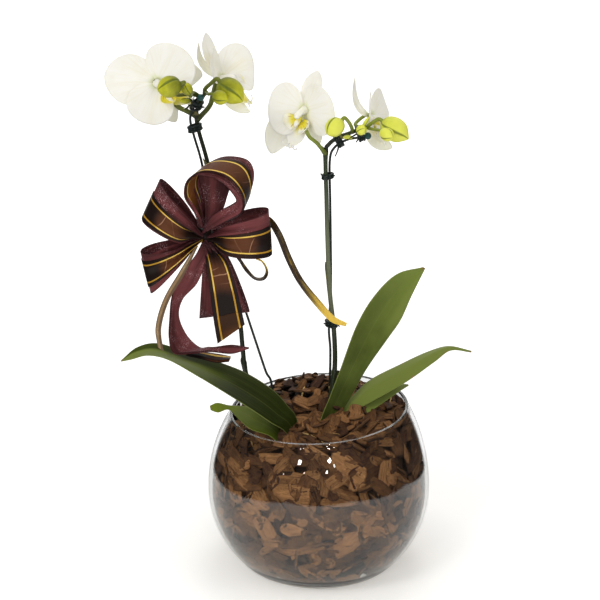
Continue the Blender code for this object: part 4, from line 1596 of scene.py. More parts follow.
FLOWERS = (
    Flower(
        "flower_far_left", (-138.5, 6, 448.5), (0.5, -0.86, 0.04), (-0.87, 0.1, 0.48), 1.12,
        (
            Tepal((-45.5, 4, 3.4), 44, (-0.1, -0.95, 0.25), (0, 3, 0), 0.05, 0.1),
            Tepal((13.5, 8, -35), 23, (0.35, -0.9, 0.1), (-2, 2, 0), -0.12, 0.5),
            Tepal((36.5, 8, 5), 25, (0.1, -0.95, 0.3), (0, 3, 2), 0.05, 0.4),
            Tepal((-13, -3, -34.5), 42, (-0.1, -0.95, -0.2), (0, -2, 0), 0.1),
            Tepal((22, -2, 31.5), 47, (0.0, -0.92, 0.35), (0, -3, 0), 0.1),
        ),
        1.0, GOLDEN_LIP,
    ),
    Flower(
        "flower_left", (-85, 26, 446), (0.82, -0.27, 0.52), (-0.75, 0.0, 0.62), 1.1,
        (
            Tepal((-12.8, 4, 38.5), 17, (0.7, -0.65, 0.2), (-3, 2, 2), 0.1, 0.6),
            Tepal((-19.8, 13, 26), 17, (0.93, -0.3, 0.2), (-5, 0, -5), 0.14, 0.6),
            Tepal((22.9, -10, -25.6), 20, (0.5, -0.5, 0.7), (-3, 0, -4), 0.1, 0.5),
            Tepal((-6.6, -14, 30), 30, (0.985, -0.16, 0.05), (-3, -2, 0), 0.12),
            Tepal((28, 20, 9), 45, (-0.1, -0.95, 0.25), (0, 2, 2), 0.1),
        ),
        2.0, GOLDEN_LIP,
    ),
    Flower(
        "flower_middle", (-13, 8, 424), (-0.5, -0.85, 0.1), (0.3, 0.1, 0.95), 1.15,
        (
            Tepal((11.3, 4, 32.5), 18, (-0.2, -0.95, 0.1), (0, 3, 0), 0.08, 0.4),
            Tepal((-28, 2, -38), 27, (-0.3, -0.9, 0.1), (-4, 4, 3), 0.05, 0.3),
            Tepal((12, -12, -27), 20, (-0.7, -0.6, 0.0), (2, 0, 0), 0.1, 0.6),
            Tepal((-31.5, 6, 2.8), 47, (-0.35, -0.93, 0.1), (0, -2, 0), 0.1),
            Tepal((25, -22, 9), 46, (-0.65, -0.75, 0.05), (0, -3, 0), 0.12),
        ),
        3.0,
    ),
    Flower(
        "flower_right", (44.5, 28, 411), (0.97, -0.2, 0.18), (-0.34, 0.0, 0.94), 0.88,
        (
            Tepal(
                (-14, 0, 38), 9, (0.75, -0.6, 0.3), (-6, 0, -5), 0.12, 0.7, 1.0, 0.6, 0.68
            ),
            Tepal((16.5, -6, -24.3), 22, (0.7, -0.6, 0.3), (-6, 0, -3), 0.1, 0.5),
            Tepal((8, 30, -14), 22, (0.9, 0.1, 0.3), (-2, 2, 0), 0.1, 0.5),
            Tepal((-1.5, -28, 20), 36, (0.995, -0.03, 0.08), (-1, -2, 0), 0.14),
            Tepal((12, 24, 11), 30, (0.6, -0.78, 0.1), (2, 2, 2), 0.1),
        ),
        4.0,
    ),
)


@dataclass(frozen=True)
class Bud:
    """A flower bud. Its centre and radius are in millimetres."""

    name: str
    centre: Point
    axis: Point
    radius: float
    stretch: float
    finish: BudFinish
    turn: float = 0.3
    peak: float = 1.0

    def skin(self) -> Skin:
        """The bud: three sepals that close over one another, with seams that run to its tip."""
        rows, sides = 48, 90
        turn = Vector(self.axis).normalized().to_track_quat("Z", "Y")
        points, marks = [], []
        for i in range(rows):
            share = (i + 0.4) / (rows - 0.2)
            polar = pi * share
            wide = sin(polar) ** (0.85 + 0.4 * self.peak * ease(2 * share - 1))
            drawn = 1 + 0.12 * self.peak * ease(4 * share - 3)
            for k in range(sides):
                a = tau * k / sides
                third = (3 * (a + self.turn + 0.7 * share) / tau) % 1
                off_seam = min(third, 1 - third)
                groove = 0.07 * exp(-((off_seam / 0.035) ** 2))
                swell = 0.05 * sin(pi * third) + 0.07 * (0.5 - third) - groove
                r = self.radius * wide * (1 + swell * sin(polar))
                z = -self.radius * self.stretch * cos(polar) * drawn
                points.append((Vector(self.centre) + turn @ round_at(r, a, z)) * MM)
                marks.append((share, 1 - 2 * off_seam, 0.0))
        skin = Skin()
        skin.add(points, ring_faces(rows, sides), marks)
        return skin

    def build(self) -> None:
        """Makes the bud; the smallest ones have no solid to stand for."""
        stands_for = [self.name] if self.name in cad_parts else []
        self.skin().piece(f"{self.name}_soft", self.finish.make(), "bud", stands_for)


BUDS = (
    Bud("bud_left_outer", (-126, -38, 458), (-0.95, -0.25, -0.2), 8.8, 1.12, GREEN_BUD, 0.9, 0.5),
    Bud("bud_left_small", (-112, -24, 452), (-0.3, -0.4, 0.85), 4.6, 1.3, GREEN_BUD, 0.3, 0.6),
    Bud("bud_left_large", (-75.5, -28, 451.5), (0.75, -0.3, -0.6), 10.0, 1.25, GREEN_BUD, 1.2, 1.0),
    Bud("bud_left_front", (-83.5, -46, 451), (0.8, -0.5, -0.2), 5.8, 1.15, GREEN_BUD, 0.5, 1.0),
    Bud("bud_right_round", (12.5, -29, 420), (-0.65, -0.4, -0.55), 7.6, 1.15, LIME_BUD, 0.2, 0.4),
    Bud("bud_right_large", (63, -26, 417), (0.8, -0.25, -0.5), 9.8, 1.3, LIME_BUD, 0.9, 1.2),
    Bud("bud_right_front", (56, -43, 418), (0.55, -0.8, -0.1), 5.4, 1.35, LIME_BUD, 0.2, 1.2),
    Bud("bud_right_small", (35.3, -16, 413.5), (0.5, -0.6, 0.4), 4.3, 1.15, LIME_BUD, 0.7, 0.6),
    Bud("bract_right", (39, -9, 418.5), (0.55, 0.1, 0.8), 1.6, 3.2, LIME_BUD, 0.1, 1.0),
    Bud("bud_left_tiny", (-114.5, -10, 437.5), (-0.9, -0.3, 0.1), 2.3, 2.0, GREEN_BUD, 0.4, 0.6),
    Bud("bud_right_tiny", (24, -8, 404.5), (-0.9, -0.3, 0.1), 2.0, 2.1, LIME_BUD, 0.4, 0.6),
)


# Spikes, stakes and clips. Routes are in millimetres.

SPIKE_LEFT = [
    (-11.5, -30.5, 127), (-27, -22, 139), (-47, -9, 153), (-60, -2, 168), (-66, 1, 186),
    (-68, 3, 206), (-71, 4.5, 235), (-81, 3, 275), (-91, 2, 318), (-94, 4, 350),
    (-97, 5, 378), (-104, 5, 406), (-106, 4, 421), (-103, 2, 432), (-98, 1, 441),
]
SPIKE_RIGHT = [
    (-4, -30.5, 128), (3, -24, 148), (11, -13, 170), (14, -3, 192), (13, 0, 224),
    (9, 0, 262), (7, 0, 308), (6, 0, 345), (5, 0, 387), (8, 0, 396),
    (16, 0, 402), (26, 0, 406), (34, 0, 409), (40, 0, 411),
]
STAKE_LEFT = [
    (-33, 20, 60), (-41.5, 12, 160), (-48.5, 11.5, 182), (-65, 11, 237), (-84, 9, 300),
    (-97, 6, 345), (-102, 3, 379), (-108.5, 3, 404), (-111, 1, 419), (-107, -3, 431),
    (-101.5, -5, 439),
]
STAKE_RIGHT = [
    (6, 8, 60), (9, 7, 150), (10, 5, 200), (8.6, 4.6, 224), (10.2, 4.3, 262), (9.8, 3.6, 308),
    (9.2, 3.2, 345), (8.7, 2.6, 380), (12.6, 1, 392.5), (23, -1, 400), (35, -4.5, 403.5),
    (41, -7, 405.5),
]
WIRE = PlainFinish("wire", (0.02, 0.028, 0.026), (0.06, 0.07, 0.065), 0.25, 0.3)
BALL = PlainFinish("teal_ball", (0.015, 0.075, 0.075), (0.03, 0.1, 0.1), 0.35)
CLIP_PLASTIC = PlainFinish("clip_plastic", (0.008, 0.016, 0.015), (0.02, 0.03, 0.028), 0.3)
NEAR_BLACK = (0.012, 0.016, 0.006)
GREY_GREEN = (0.165, 0.185, 0.11)
OLIVE = (0.085, 0.1, 0.012)
LIME = (0.3, 0.36, 0.045)
DARK_STEM = StemFinish(
    "stem_dark",
    ((0.0, (0.03, 0.04, 0.015)), (0.35, NEAR_BLACK), (0.9, (0.014, 0.018, 0.008)), (1.0, OLIVE)),
    ((0.0, (0.04, 0.05, 0.008)), (0.3, (0.11, 0.13, 0.012)), (1.0, (0.2, 0.23, 0.02))),
)
GREY_STEM = StemFinish(
    "stem_grey",
    (
        (0.0, NEAR_BLACK), (0.3, (0.02, 0.03, 0.01)), (0.36, (0.13, 0.145, 0.08)),
        (0.46, GREY_GREEN), (0.56, (0.05, 0.07, 0.035)), (0.66, NEAR_BLACK),
        (0.8, (0.03, 0.04, 0.01)), (1.0, OLIVE),
    ),
    ((0.0, (0.09, 0.11, 0.012)), (0.15, (0.22, 0.27, 0.025)), (0.6, LIME), (1.0, LIME)),
)


@dataclass(frozen=True)
class Stalk:
    """A flower's or bud's stalk, in millimetres. It ends at the back of its flower or bud."""

    stations: Sequence[Point]
    end: str
    width: float = 1.6


@dataclass
class Spike:
    """A flower spike with its stalks, and the stake that holds it up.

    Its routes and radius are in millimetres; nodes are shares of its length.
    """

    side: str
    finish: StemFinish
    route: Sequence[Point]
    stake: Sequence[Point]
    stalks: Sequence[Stalk]
    nodes: Sequence[float]
    radius: float = 2.3
    wire_radius: float = 1.1 * MM
    ball_radius: float = 3.0 * MM
    ball_rings: int = 17

    def ends(self) -> dict[str, tuple[Point, Point]]:
        """For each flower and bud, the last two points of its stalk, in millimetres."""
        found = {}
        for flower in FLOWERS:
            centre = Vector(flower.centre)
            back = (Vector((0, 2, 0)) - Vector(flower.facing)).normalized()
            found[flower.name] = (tuple(centre + back * 11), tuple(centre - back * 0.3))
        for bud in BUDS:
            centre, back = Vector(bud.centre), -Vector(bud.axis).normalized()
            reach = bud.radius * bud.stretch
            found[bud.name] = tuple(tuple(centre + back * (reach + far)) for far in (3, -1))
        return found

    def stem(self) -> Skin:
        """The spike and its stalks, each thicker where it joins something."""
        skin = Skin()
        rows = 150
        radii = []
        for i in range(rows):
            share = i / (rows - 1)
            swell = sum(0.5 * exp(-(((share - node) * 70) ** 2)) for node in self.nodes)
            radii.append((self.radius * (1 - 0.3 * share) + swell) * MM)
        skin.tube(route_of(self.route, rows), radii, 16)
        ends = self.ends()
        rows = 40
        for stalk in self.stalks:
            radii = []
            for i in range(rows):
                share = i / (rows - 1)
                flare = 0.55 * ease((share - 0.86) / 0.14) + 0.5 * exp(-((share * 14) ** 2))
                radii.append((stalk.width + flare) * MM)
            skin.tube(route_of([*stalk.stations, *ends[stalk.end]], rows), radii, 12, 1.0)
        for node in self.nodes:
            self.bract(skin, node)
        return skin

    def bract(self, skin: Skin, share: float) -> None:
        """Adds the small dry sheath that hugs the spike at a node.

        Args:
            skin: the mesh it joins.
            share: how far up the spike the node is.
        """
        steps, size = 300, 9
        path = route_of(self.route, steps + 1)
        here = min(steps - 10, int(share * steps))
        rows = []
        for i in range(size):
            middle = path[here + i]
            ahead = (path[here + i + 1] - path[here + i - 1]).normalized()
            first = ahead.orthogonal().normalized()
            second = ahead.cross(first)
            width = (self.radius * 0.93 + 0.25 + 0.1 * i) * MM
            reach = 2.2 * (1 - i / 8.6)
            turns = [reach * (2 * j / (size - 1) - 1) + 4 * share for j in range(size)]
            rows.append([middle + (first * cos(a) + second * sin(a)) * width for a in turns])
        skin.sheet(rows, lambda s, t: 0.35 * MM, 2.0)

    def build(self) -> None:
        """Makes the spike, the wire stake and its ball."""
        spike, stake = f"spike_{self.side}", f"stake_{self.side}"
        self.stem().piece(f"{spike}_stem", self.finish.make(), "stem", [spike])
        path = route_of(self.stake, 120)
        rod, bead = Skin(), Skin()
        rod.tube(path, [self.wire_radius] * len(path), 12)
        rod.piece(f"{stake}_wire", WIRE.make(), "stake", [stake])
        rings = range(1, self.ball_rings)
        levels = [self.ball_radius * cos(pi * (1 - k / self.ball_rings)) for k in rings]
        radii = [self.ball_radius * sin(pi * k / self.ball_rings) for k in rings]
        bead.tube([path[-1] + UP * level for level in levels], radii, 24)
        bead.piece(f"{stake}_ball", BALL.make(), "stake")


SPIKES = (
    Spike(
        "left", DARK_STEM, SPIKE_LEFT, STAKE_LEFT,
        (
            Stalk(((-105.5, 5, 416), (-95, 12, 426), (-92, 20, 434)), "flower_left", 2.2),
            Stalk(((-106, 4, 420), (-114, 5, 424), (-124, 9, 429)), "flower_far_left", 2.2),
            Stalk(((-101, 2, 437), (-110, -1, 441), (-121, -20, 446)), "bud_left_outer"),
            Stalk(((-101, 2, 437), (-107.5, -3, 443)), "bud_left_small", 1.3),
            Stalk(((-98, 1, 441), (-97.5, -8, 447.5), (-91.5, -19, 456)), "bud_left_large", 1.8),
            Stalk(((-98, 1, 441), (-96.5, -8, 445), (-94, -26, 448)), "bud_left_front", 1.3),
        ),
        (0.3, 0.52, 0.7, 0.86),
    ),
    Spike(
        "right", GREY_STEM, SPIKE_RIGHT, STAKE_RIGHT,
        (
            Stalk(
                ((5, 0, 387), (-2, -12, 400), (-9.5, -14, 407.5), (-12, 3, 411)),
                "flower_middle", 1.7,
            ),
            Stalk(((38, 0, 410), (36, 14, 406), (31, 26, 406)), "flower_right"),
            Stalk(((28, 0, 407), (27, -10, 414), (24.5, -18, 421)), "bud_right_round"),
            Stalk(((39, 0, 411), (41, -9, 415), (46, -17, 421.5)), "bud_right_large"),
            Stalk(((39, 0, 411), (43, -14, 414), (47, -26, 417)), "bud_right_front", 1.3),
        ),
        (0.2, 0.4, 0.62, 0.78, 0.9),
    ),
)


@dataclass(frozen=True)
class Clip:
    """A small spring clip closed round a spike and its stake.

    Its height and legs are in millimetres, and share is how far up the spike it sits.
    """

    name: str
    side: int
    share: float
    height: float = 5.0
    legs: tuple[Point, ...] = ()

    def skin(self) -> Skin:
        """The clip's band of three rings, its finger tabs and its legs."""
        spike = SPIKES[self.side]
        steps = 200
        path = route_of(spike.route, steps + 1)
        index = round(self.share * steps)
        axis = (path[index + 1] - path[index - 1]).normalized()
        stem = path[index]
        rod = min(
            route_of(spike.stake, 2 * steps + 1),
            key=lambda point: abs((point - stem).dot(axis)) + (point - stem).length * 0.01,
        )
        along = rod - stem
        along -= axis * along.dot(axis)
        centre = stem + along / 2
        long, wide = along.length / 2 + 3.1 * MM, 3.2 * MM
        along.normalize()
        across = axis.cross(along).normalized()
        skin = Skin()
        turns = [tau * k / 32 for k in range(33)]
        for lift, thick in ((-0.32, 1.15), (0.32, 1.15), (0.0, 0.9)):
            loop = []
            for a in turns:
                spot = along * (long * cos(a)) + across * (wide * sin(a))
                loop.append(centre + spot + axis * (lift * self.height * MM))
            skin.tube(loop, [thick * MM] * len(loop), 10)
        for way, end in ((-1, -1), (-1, 1), (1, -1), (1, 1)):
            root = centre + across * (wide * way) + along * (end * 1.2 * MM)
            tip = root + across * (3.1 * MM * way) + along * (end * 1.5 * MM) + axis * (1.4 * MM)
            bend = root.lerp(tip, 0.5) - axis * 0.3 * MM
            skin.tube([root, bend, tip], [1.0 * MM, 0.9 * MM, 0.6 * MM], 8)
        for leg in self.legs:
            start = centre - across * wide
            end = start + Vector(leg) * MM
            bend = start.lerp(end, 0.55) + axis * 1.2 * MM
            path = route_of([tuple(point / MM) for point in (start, bend, end)], 12)
            skin.tube(path, [(0.95 - 0.04 * k) * MM for k in range(12)], 8)
        return skin

    def build(self) -> None:
        """Makes the clip."""
        self.skin().piece(f"{self.name}_moulded", CLIP_PLASTIC.make(), "clip", [self.name])


CLIPS = (
    Clip("clip_left_upper", 0, 0.798, 6.0),
    Clip("clip_left_top", 0, 0.92, 9.0, ((-6, -3, 5), (5, -2, 8), (-8, 0, -6))),
    Clip("clip_right_low", 1, 0.318, 6.5, ((-5, -1, -4), (5, -1, -4))),
    Clip("clip_right_upper", 1, 0.575, 4.0),
    Clip("clip_right_bend", 1, 0.76, 5.0, ((-3, -4, -12),)),
    Clip("clip_right_tip", 1, 0.92, 6.0, ((-13, -6, -6), (-3, -4, -8))),
)


# Bow. Its tables are in millimetres.


@dataclass(frozen=True)
class Loop:
    """A bow loop that lies to the front: its two edges seen from the front, as (x, z)."""

    name: str
    first: Sequence[Pair]
    second: Sequence[Pair]
    depth: float
    stripe: Pair | None


TOP_LOOP = [
    (-102.5, -23, 327.3, -100.5, -14, 328.4), (-107, -36, 345, -101, -9, 354),
    (-115, -43, 362, -102, -8, 369), (-113, -44, 376, -97, -8, 380), (-102, -44, 383, -82, -7, 387),
    (-86, -43, 380, -64, -7, 385), (-74, -42, 371, -57, -8, 376), (-66, -40, 356, -58, -9, 361),
    (-70, -37, 343, -66, -11, 346), (-95.5, -23, 327.2, -93.5, -14, 326.2),
]
TAIL_STRIPED = [
    (-99.8, -23.5, 312.7, -95.5, -23.5, 312.7), (-98, -33, 300, -80, -33, 301),
    (-95, -34, 275, -72, -34, 277), (-92, -32, 245, -67, -32, 252), (-89, -30, 223, -65, -30, 241),
]
TAIL_LEFT = [
    (-100.6, -24, 317, -92.9, -24, 314.3), (-106.6, -29, 306, -94.1, -29, 305.1),
    (-115.3, -31, 294.8, -99, -30, 294.5), (-124.2, -32, 279.5, -106.2, -28, 278),
    (-128.7, -33, 266, -118.6, -27, 263.7), (-130.2, -36, 249.5, -122.5, -25, 247.1),
    (-131, -42, 233.3, -115.7, -26, 229.6), (-127.1, -47, 221.2, -104.2, -33, 221.1),
    (-110.6, -48, 221.2, -96.2, -37, 222.8), (-95.1, -45, 221.4, -90.9, -39, 223.6),
    (-76.1, -43, 218.7, -76.2, -38, 225.5), (-61.4, -39, 222.2, -61.4, -38, 222.7),
]
CURL_LEFT = [
    (-106, -26, 314, -105, -26, 312), (-121, -36, 292, -117, -36, 289),
    (-135, -40, 268, -130, -40, 267),
    (-142, -43, 244, -137, -43, 243), (-140, -50, 228, -135, -52, 225),
]
CURL_RIGHT = [
    (-97, -10.5, 324.8, -96, -10.5, 323), (-88, -5, 326, -87, -5, 322), (-74, 0, 327, -74, 0, 322),
    (-57, 1, 331, -58, 1, 326), (-43, -4, 331, -47, -4, 327), (-33, -10, 319, -38, -10, 316),
    (-24, -16, 298, -29, -16, 295), (-14, -20, 279, -19, -20, 276), (0, -22, 261, -4, -22, 256),
    (13, -23, 246, 10, -23, 241), (24, -24, 240, 23, -24, 237),
]
CURL_LOOP = [
    (-97, -11, 317, -96, -11, 315.4), (-86, -3, 308, -86, -4, 305), (-75, 0, 300, -76, -4, 297.5),
    (-69.4, -2, 292.5, -70.2, -6, 291.3), (-63.4, -3, 283.5, -64.6, -7, 282.2),
    (-56.4, -4, 275.5, -56.3, -8, 274.6), (-49.4, -4, 275.5, -48.2, -8, 274.6),
    (-46.7, -3, 281.7, -45, -7, 281.2), (-50.2, -2, 288.7, -48.8, -6, 290),
    (-55.5, 0, 290.8, -55.4, -4, 293.6),
]
TOP_FOLD = [
    (-101.5, -29, 324, -100, -27, 327.2), (-82, -33, 336.6, -91.5, -29, 341.6),
    (-67.7, -38, 346.5, -75, -32, 352.4), (-65.4, -40.5, 357.4, -71.5, -34, 356.8),
    (-68.7, -41, 367.6, -75.7, -34, 364), (-75.4, -41, 376.1, -81.6, -33, 370.8),
    (-84.6, -41, 382.6, -90.1, -32, 375.9), (-96.4, -41, 384.7, -96.9, -31, 377.3),
    (-104.8, -40, 382.8, -103.7, -30, 377.9),
]
TOP_BACK = [
    (-99.7, -24, 327.1, -91.8, -24, 332.6), (-98.6, -21, 339.7, -83.1, -22, 344.6),
    (-99.6, -18, 352.3, -79.6, -19, 354.4), (-102.1, -16, 361.6, -77.1, -16, 360.7),
    (-105.3, -14, 375.3, -71.9, -14, 368.1),
]
TAIL_END = [
    (-116, -44, 218.6, -112.8, -38, 218.5), (-103.9, -43, 215.4, -101.7, -34, 216.4),
    (-91, -41, 210.8, -87.8, -31, 213.2), (-78.9, -38, 210.5, -77.4, -30, 210.5),
]
LOOPS = (
    Loop(
        "bow_loop_upper_left", ((-107, 321), (-122, 317), (-153, 334)),
        ((-104, 327), (-114, 342), (-137, 370)), 13, (0.03, 0.67),
    ),
    Loop(
        "bow_loop_lower_left", ((-104.5, 314), (-117, 300), (-147, 267)),
        ((-107, 318.5), (-121, 312.5), (-155, 305)), 13, (0.17, 0.83),
    ),
    Loop(
        "bow_loop_bottom", ((-95, 313), (-79, 295), (-61, 249)),
        ((-100.5, 312), (-101, 296), (-105, 243)), 9, None,
    ),
    Loop(
        "bow_loop_right", ((-91, 323.5), (-78, 333), (-44, 343)),
        ((-91.5, 317.5), (-81, 306), (-42, 302)), 13, (0.31, 0.98),
    ),
)


@dataclass(frozen=True)
class Ribbon:
    """A ribbon: its finish, the record's slot for it, and the width it was cut to."""

    finish: ClothFinish | StripeFinish | GoldFinish
    slot: str
    width: float


# The organza's colours: the cloth, its selvedge and painted shade, and its painted glints.
CLOTH = Ribbon(
    ClothFinish("organza", (0.18, 0.042, 0.044), (0.05, 0.009, 0.01), (0.62, 0.38, 0.4)),
    "ribbon", 42 * MM,
)
STRIPE = Ribbon(StripeFinish(), "striped_ribbon", 27 * MM)
# A copy of the striped ribbon made lighter: painted light.
LIGHTER_STRIPE = replace(
    STRIPE, finish=StripeFinish("striped_lighter", (0.045, 0.016, 0.005), (0.2, 0.07, 0.015))
)
# A copy whose painted sheen sweeps more slowly, so that more of the top loop is painted light.
LIT_STRIPE = replace(STRIPE, finish=StripeFinish("striped_top", wave=0.13))
GOLD = Ribbon(GoldFinish(), "gold_ribbon", 5.5 * MM)
TAN = replace(
    GOLD,
    finish=GoldFinish("tan_ribbon", (0.3, 0.19, 0.09), (0.5, 0.33, 0.14), (0.14, 0.08, 0.04), 1.0),
)
# How far one ribbon lies off the one that it runs on.
PROUD = 0.9 * MM


@dataclass(frozen=True)
class Strip:
    """A strip of ribbon between two edges.

    It covers the part span of their length and the part across of their width, and lies proud of
    them. Where it is narrower than pleated it is pleated in, and plies is how many times it goes
    across, folded lengthwise.
    """

    name: str
    ribbon: Ribbon
    stations: Stations
    replaces: Sequence[str] = ()
    span: Pair = (0.0, 1.0)
    across: Pair = (0.0, 1.0)
    proud: float = 0.0
    pleated: float = 0.0
    plies: int = 1


STRIPS = (
    Strip("bow_loop_top_cloth", CLOTH, TOP_LOOP, ["bow_loop_top"], pleated=CLOTH.width),
    Strip("bow_loop_top_stripe", LIT_STRIPE, TOP_LOOP, (), (0.06, 0.94), (0.06, 0.8), -PROUD),
    Strip(
        "bow_loop_top_lining", LIGHTER_STRIPE, TOP_LOOP, (), (0.05, 0.36), (0.02, 0.72), PROUD, STRIPE.width
    ),
    Strip("bow_loop_top_back", CLOTH, TOP_BACK, plies=2),
    Strip("bow_loop_top_fold", replace(CLOTH, width=CLOTH.width / 2), TOP_FOLD, plies=2),
    Strip(
        "bow_tail_striped_satin", STRIPE, TAIL_STRIPED, ["bow_tail_striped"], (0.0, 0.72),
        pleated=STRIPE.width,
    ),
    Strip("bow_tail_striped_end", LIGHTER_STRIPE, TAIL_STRIPED, span=(0.72, 1.0)),
    Strip("bow_tail_left_cloth", CLOTH, TAIL_LEFT, ["bow_tail_left"], plies=3),
    Strip("bow_tail_left_satin", STRIPE, TAIL_END, plies=4),
)
CURLS = (
    Strip("curl_left", TAN, CURL_LEFT),
    Strip("curl_right", GOLD, CURL_RIGHT),
    Strip("curl_loop", GOLD, CURL_LOOP),
)


@dataclass
class Bow:
    """The ribbon bow: an organza ribbon under a striped one, tied round the left spike."""

    centre: Vector = field(default_factory=lambda: mm(-99, -19, 320))
    layer: float = 0.25 * MM
    film: float = 0.9 * MM
    ply_gap: float = 0.65 * MM
    pleats: float = 2.5
    columns: int = 41

    def strip(self, grid: Grid, name: str, ribbon: Ribbon, replaces: Sequence[str] = ()) -> None:
        """Args:
            grid: its middle points, row by row.
            name: the piece's name.
            ribbon: what it is cut from.
            replaces: the solids it stands for.
        """
        middle = len(grid[0]) // 2
        run = 0.0
        marks = []
        for i, row in enumerate(grid):
            if i:
                run += (row[middle] - grid[i - 1][middle]).length
            marks.append([(run, 2 * j / (len(row) - 1) - 1, 0.0) for j in range(len(row))])
        skin = Skin()
        skin.sheet(grid, lambda s, t: self.layer, 0.0, marks)
        obj = skin.piece(name, ribbon.finish.make(), ribbon.slot, replaces)
        area = 0.0
        for upper, lower in zip(grid, grid[1:]):
            for j in range(len(upper) - 1):
                area += (upper[j + 1] - upper[j]).cross(lower[j] - upper[j]).length

    def slack(self, width: float, span: Vector) -> float:
        """How deep the pleats are that take a ribbon's width into a narrower span."""
        return sqrt(max(0.0, width**2 - span.length_squared)) / (4 * self.pleats)

    def loop_grid(self, loop: Loop, low: float, high: float, proud: float) -> Grid:
        """The middle points of a part of a loop.

        Args:
            loop: the loop.
            low: the share of its width where the part starts.
            high: the share where it ends.
            proud: how far it lies outside the loop.

        Returns:
            The points, row by row.
        """
        rows, steps = 97, 200
        first, second = through(loop.first, steps + 1), through(loop.second, steps + 1)
        middle = Vector((self.centre.x, 0, self.centre.z))
        grid = []
        for i in range(rows):
            turn = pi * i / (rows - 1)
            reach = min(steps, round(steps * sin(turn) ** 0.85))
            gather = 1 - ease(reach / 80)
            outward = proud * sin(turn) ** 0.5
            y = self.centre.y - (3 + 3.5 * gather) * MM * cos(turn)
            y -= loop.depth * MM * sin(2 * turn) + (outward + proud * gather) * cos(turn)
            a = Vector((first[reach][0] * MM, 0, first[reach][1] * MM))
            b = Vector((second[reach][0] * MM, 0, second[reach][1] * MM))
            a, b = (middle + (point - middle) * (1 - 0.75 * gather) for point in (a, b))
            out = ((a + b) / 2 - middle).normalized() * (outward * sin(turn))
            slack = self.slack(CLOTH.width, b - a)
            fade = (1 - reach / steps) ** 0.55
            row = []
            for j in range(self.columns):
                share = low + (high - low) * j / (self.columns - 1)
                pleat = slack * fade * sin(tau * self.pleats * share + loop.depth)
                spot = Vector((reach / 60, share * 2, loop.depth))
                wave = 0.9 * MM * noise.noise(spot) * sin(turn)
                row.append(a.lerp(b, share) + out + Vector((0, y + pleat * 0.8 + wave, 0)))
            grid.append(row)
        return grid

    def strip_grid(self, strip: Strip) -> Grid:
        """The middle points of a strip.

        Args:
            strip: the strip.

        Returns:
            The points, row by row.
        """
        steps, across = 160, strip.across
        left, right = edges_of(strip.stations, steps + 1)
        spine = tangents_of([(a + b) / 2 for a, b in zip(left, right)])
        first, last = (round(steps * share) for share in strip.span)
        grid = []
        for i in range(first, last + 1):
            a, b = left[i], right[i]
            normal = (b - a).cross(spine[i]).normalized()
            slack = self.slack(strip.pleated, b - a)
            fade = (1 - i / steps) ** 2
            row = []
            for j in range(self.columns):
                u = j / (self.columns - 1)
                off = strip.proud
                if strip.plies > 1:
                    off += self.ply_gap * strip.plies * (u - 0.5)
                    u = abs((u * strip.plies + 1) % 2 - 1)
                share = across[0] + (across[1] - across[0]) * u
                pleat = slack * fade * sin(tau * self.pleats * share)
                row.append(a.lerp(b, share) + normal * (off + pleat * 0.8))
            grid.append(row)
        return grid

    def knot(self) -> None:
        """Makes the bow's gathered middle and the wire tie round the spike."""
        skin = Skin()
        rows, sides = 25, 60
        points = []
        for i in range(rows):
            polar = pi * (i + 0.5) / rows
            y = 7.5 * MM * cos(polar)
            for k in range(sides):
                a = tau * k / sides
                wide = 6.6 * MM * sin(polar) * (1 + 0.16 * sin(9 * a + 4 * polar))
                points.append(self.centre + Vector((wide * cos(a), y, wide * sin(a))))
        skin.add(points, ring_faces(rows, sides), [(0.0, 0.0, 0.0)] * len(points))
        turns = [tau * k / 32 for k in range(33)]
        spike = mm(-91.5, 5.0, 320)
        tie = [spike + Vector((6.4 * cos(a), 4.4 * sin(a), 0)) * MM for a in turns]
        for lift in (-2.0, 0.0, 2.0):
            skin.tube([point + UP * lift * MM for point in tie], [1.2 * MM] * len(tie), 10)
        neck = [self.centre, mm(-96, -8, 320), mm(-93, 0, 320)]
        skin.tube(neck, [3.2 * MM, 2.8 * MM, 2.4 * MM], 12)
        skin.piece("bow_knot_tie", STRIPE.finish.make(), "ribbon", ["bow_knot"])

    def build(self) -> None:
        """Makes the bow."""
        self.knot()
        for loop in LOOPS:
            grid = self.loop_grid(loop, 0.0, 1.0, 0.0)
            self.strip(grid, f"{loop.name}_cloth", CLOTH, [loop.name])
            if loop.stripe:
                grid = self.loop_grid(loop, *loop.stripe, PROUD)
                self.strip(grid, f"{loop.name}_stripe", STRIPE)
        for strip in STRIPS:
            self.strip(self.strip_grid(strip), strip.name, strip.ribbon, strip.replaces)
        for curl in CURLS:
            skin = Skin()
            skin.sheet(self.strip_grid(curl), lambda s, t: self.film)
            finish, slot = curl.ribbon.finish.make(), curl.ribbon.slot
            skin.piece(f"{curl.name}_gold", finish, slot, [curl.name])


# Setting


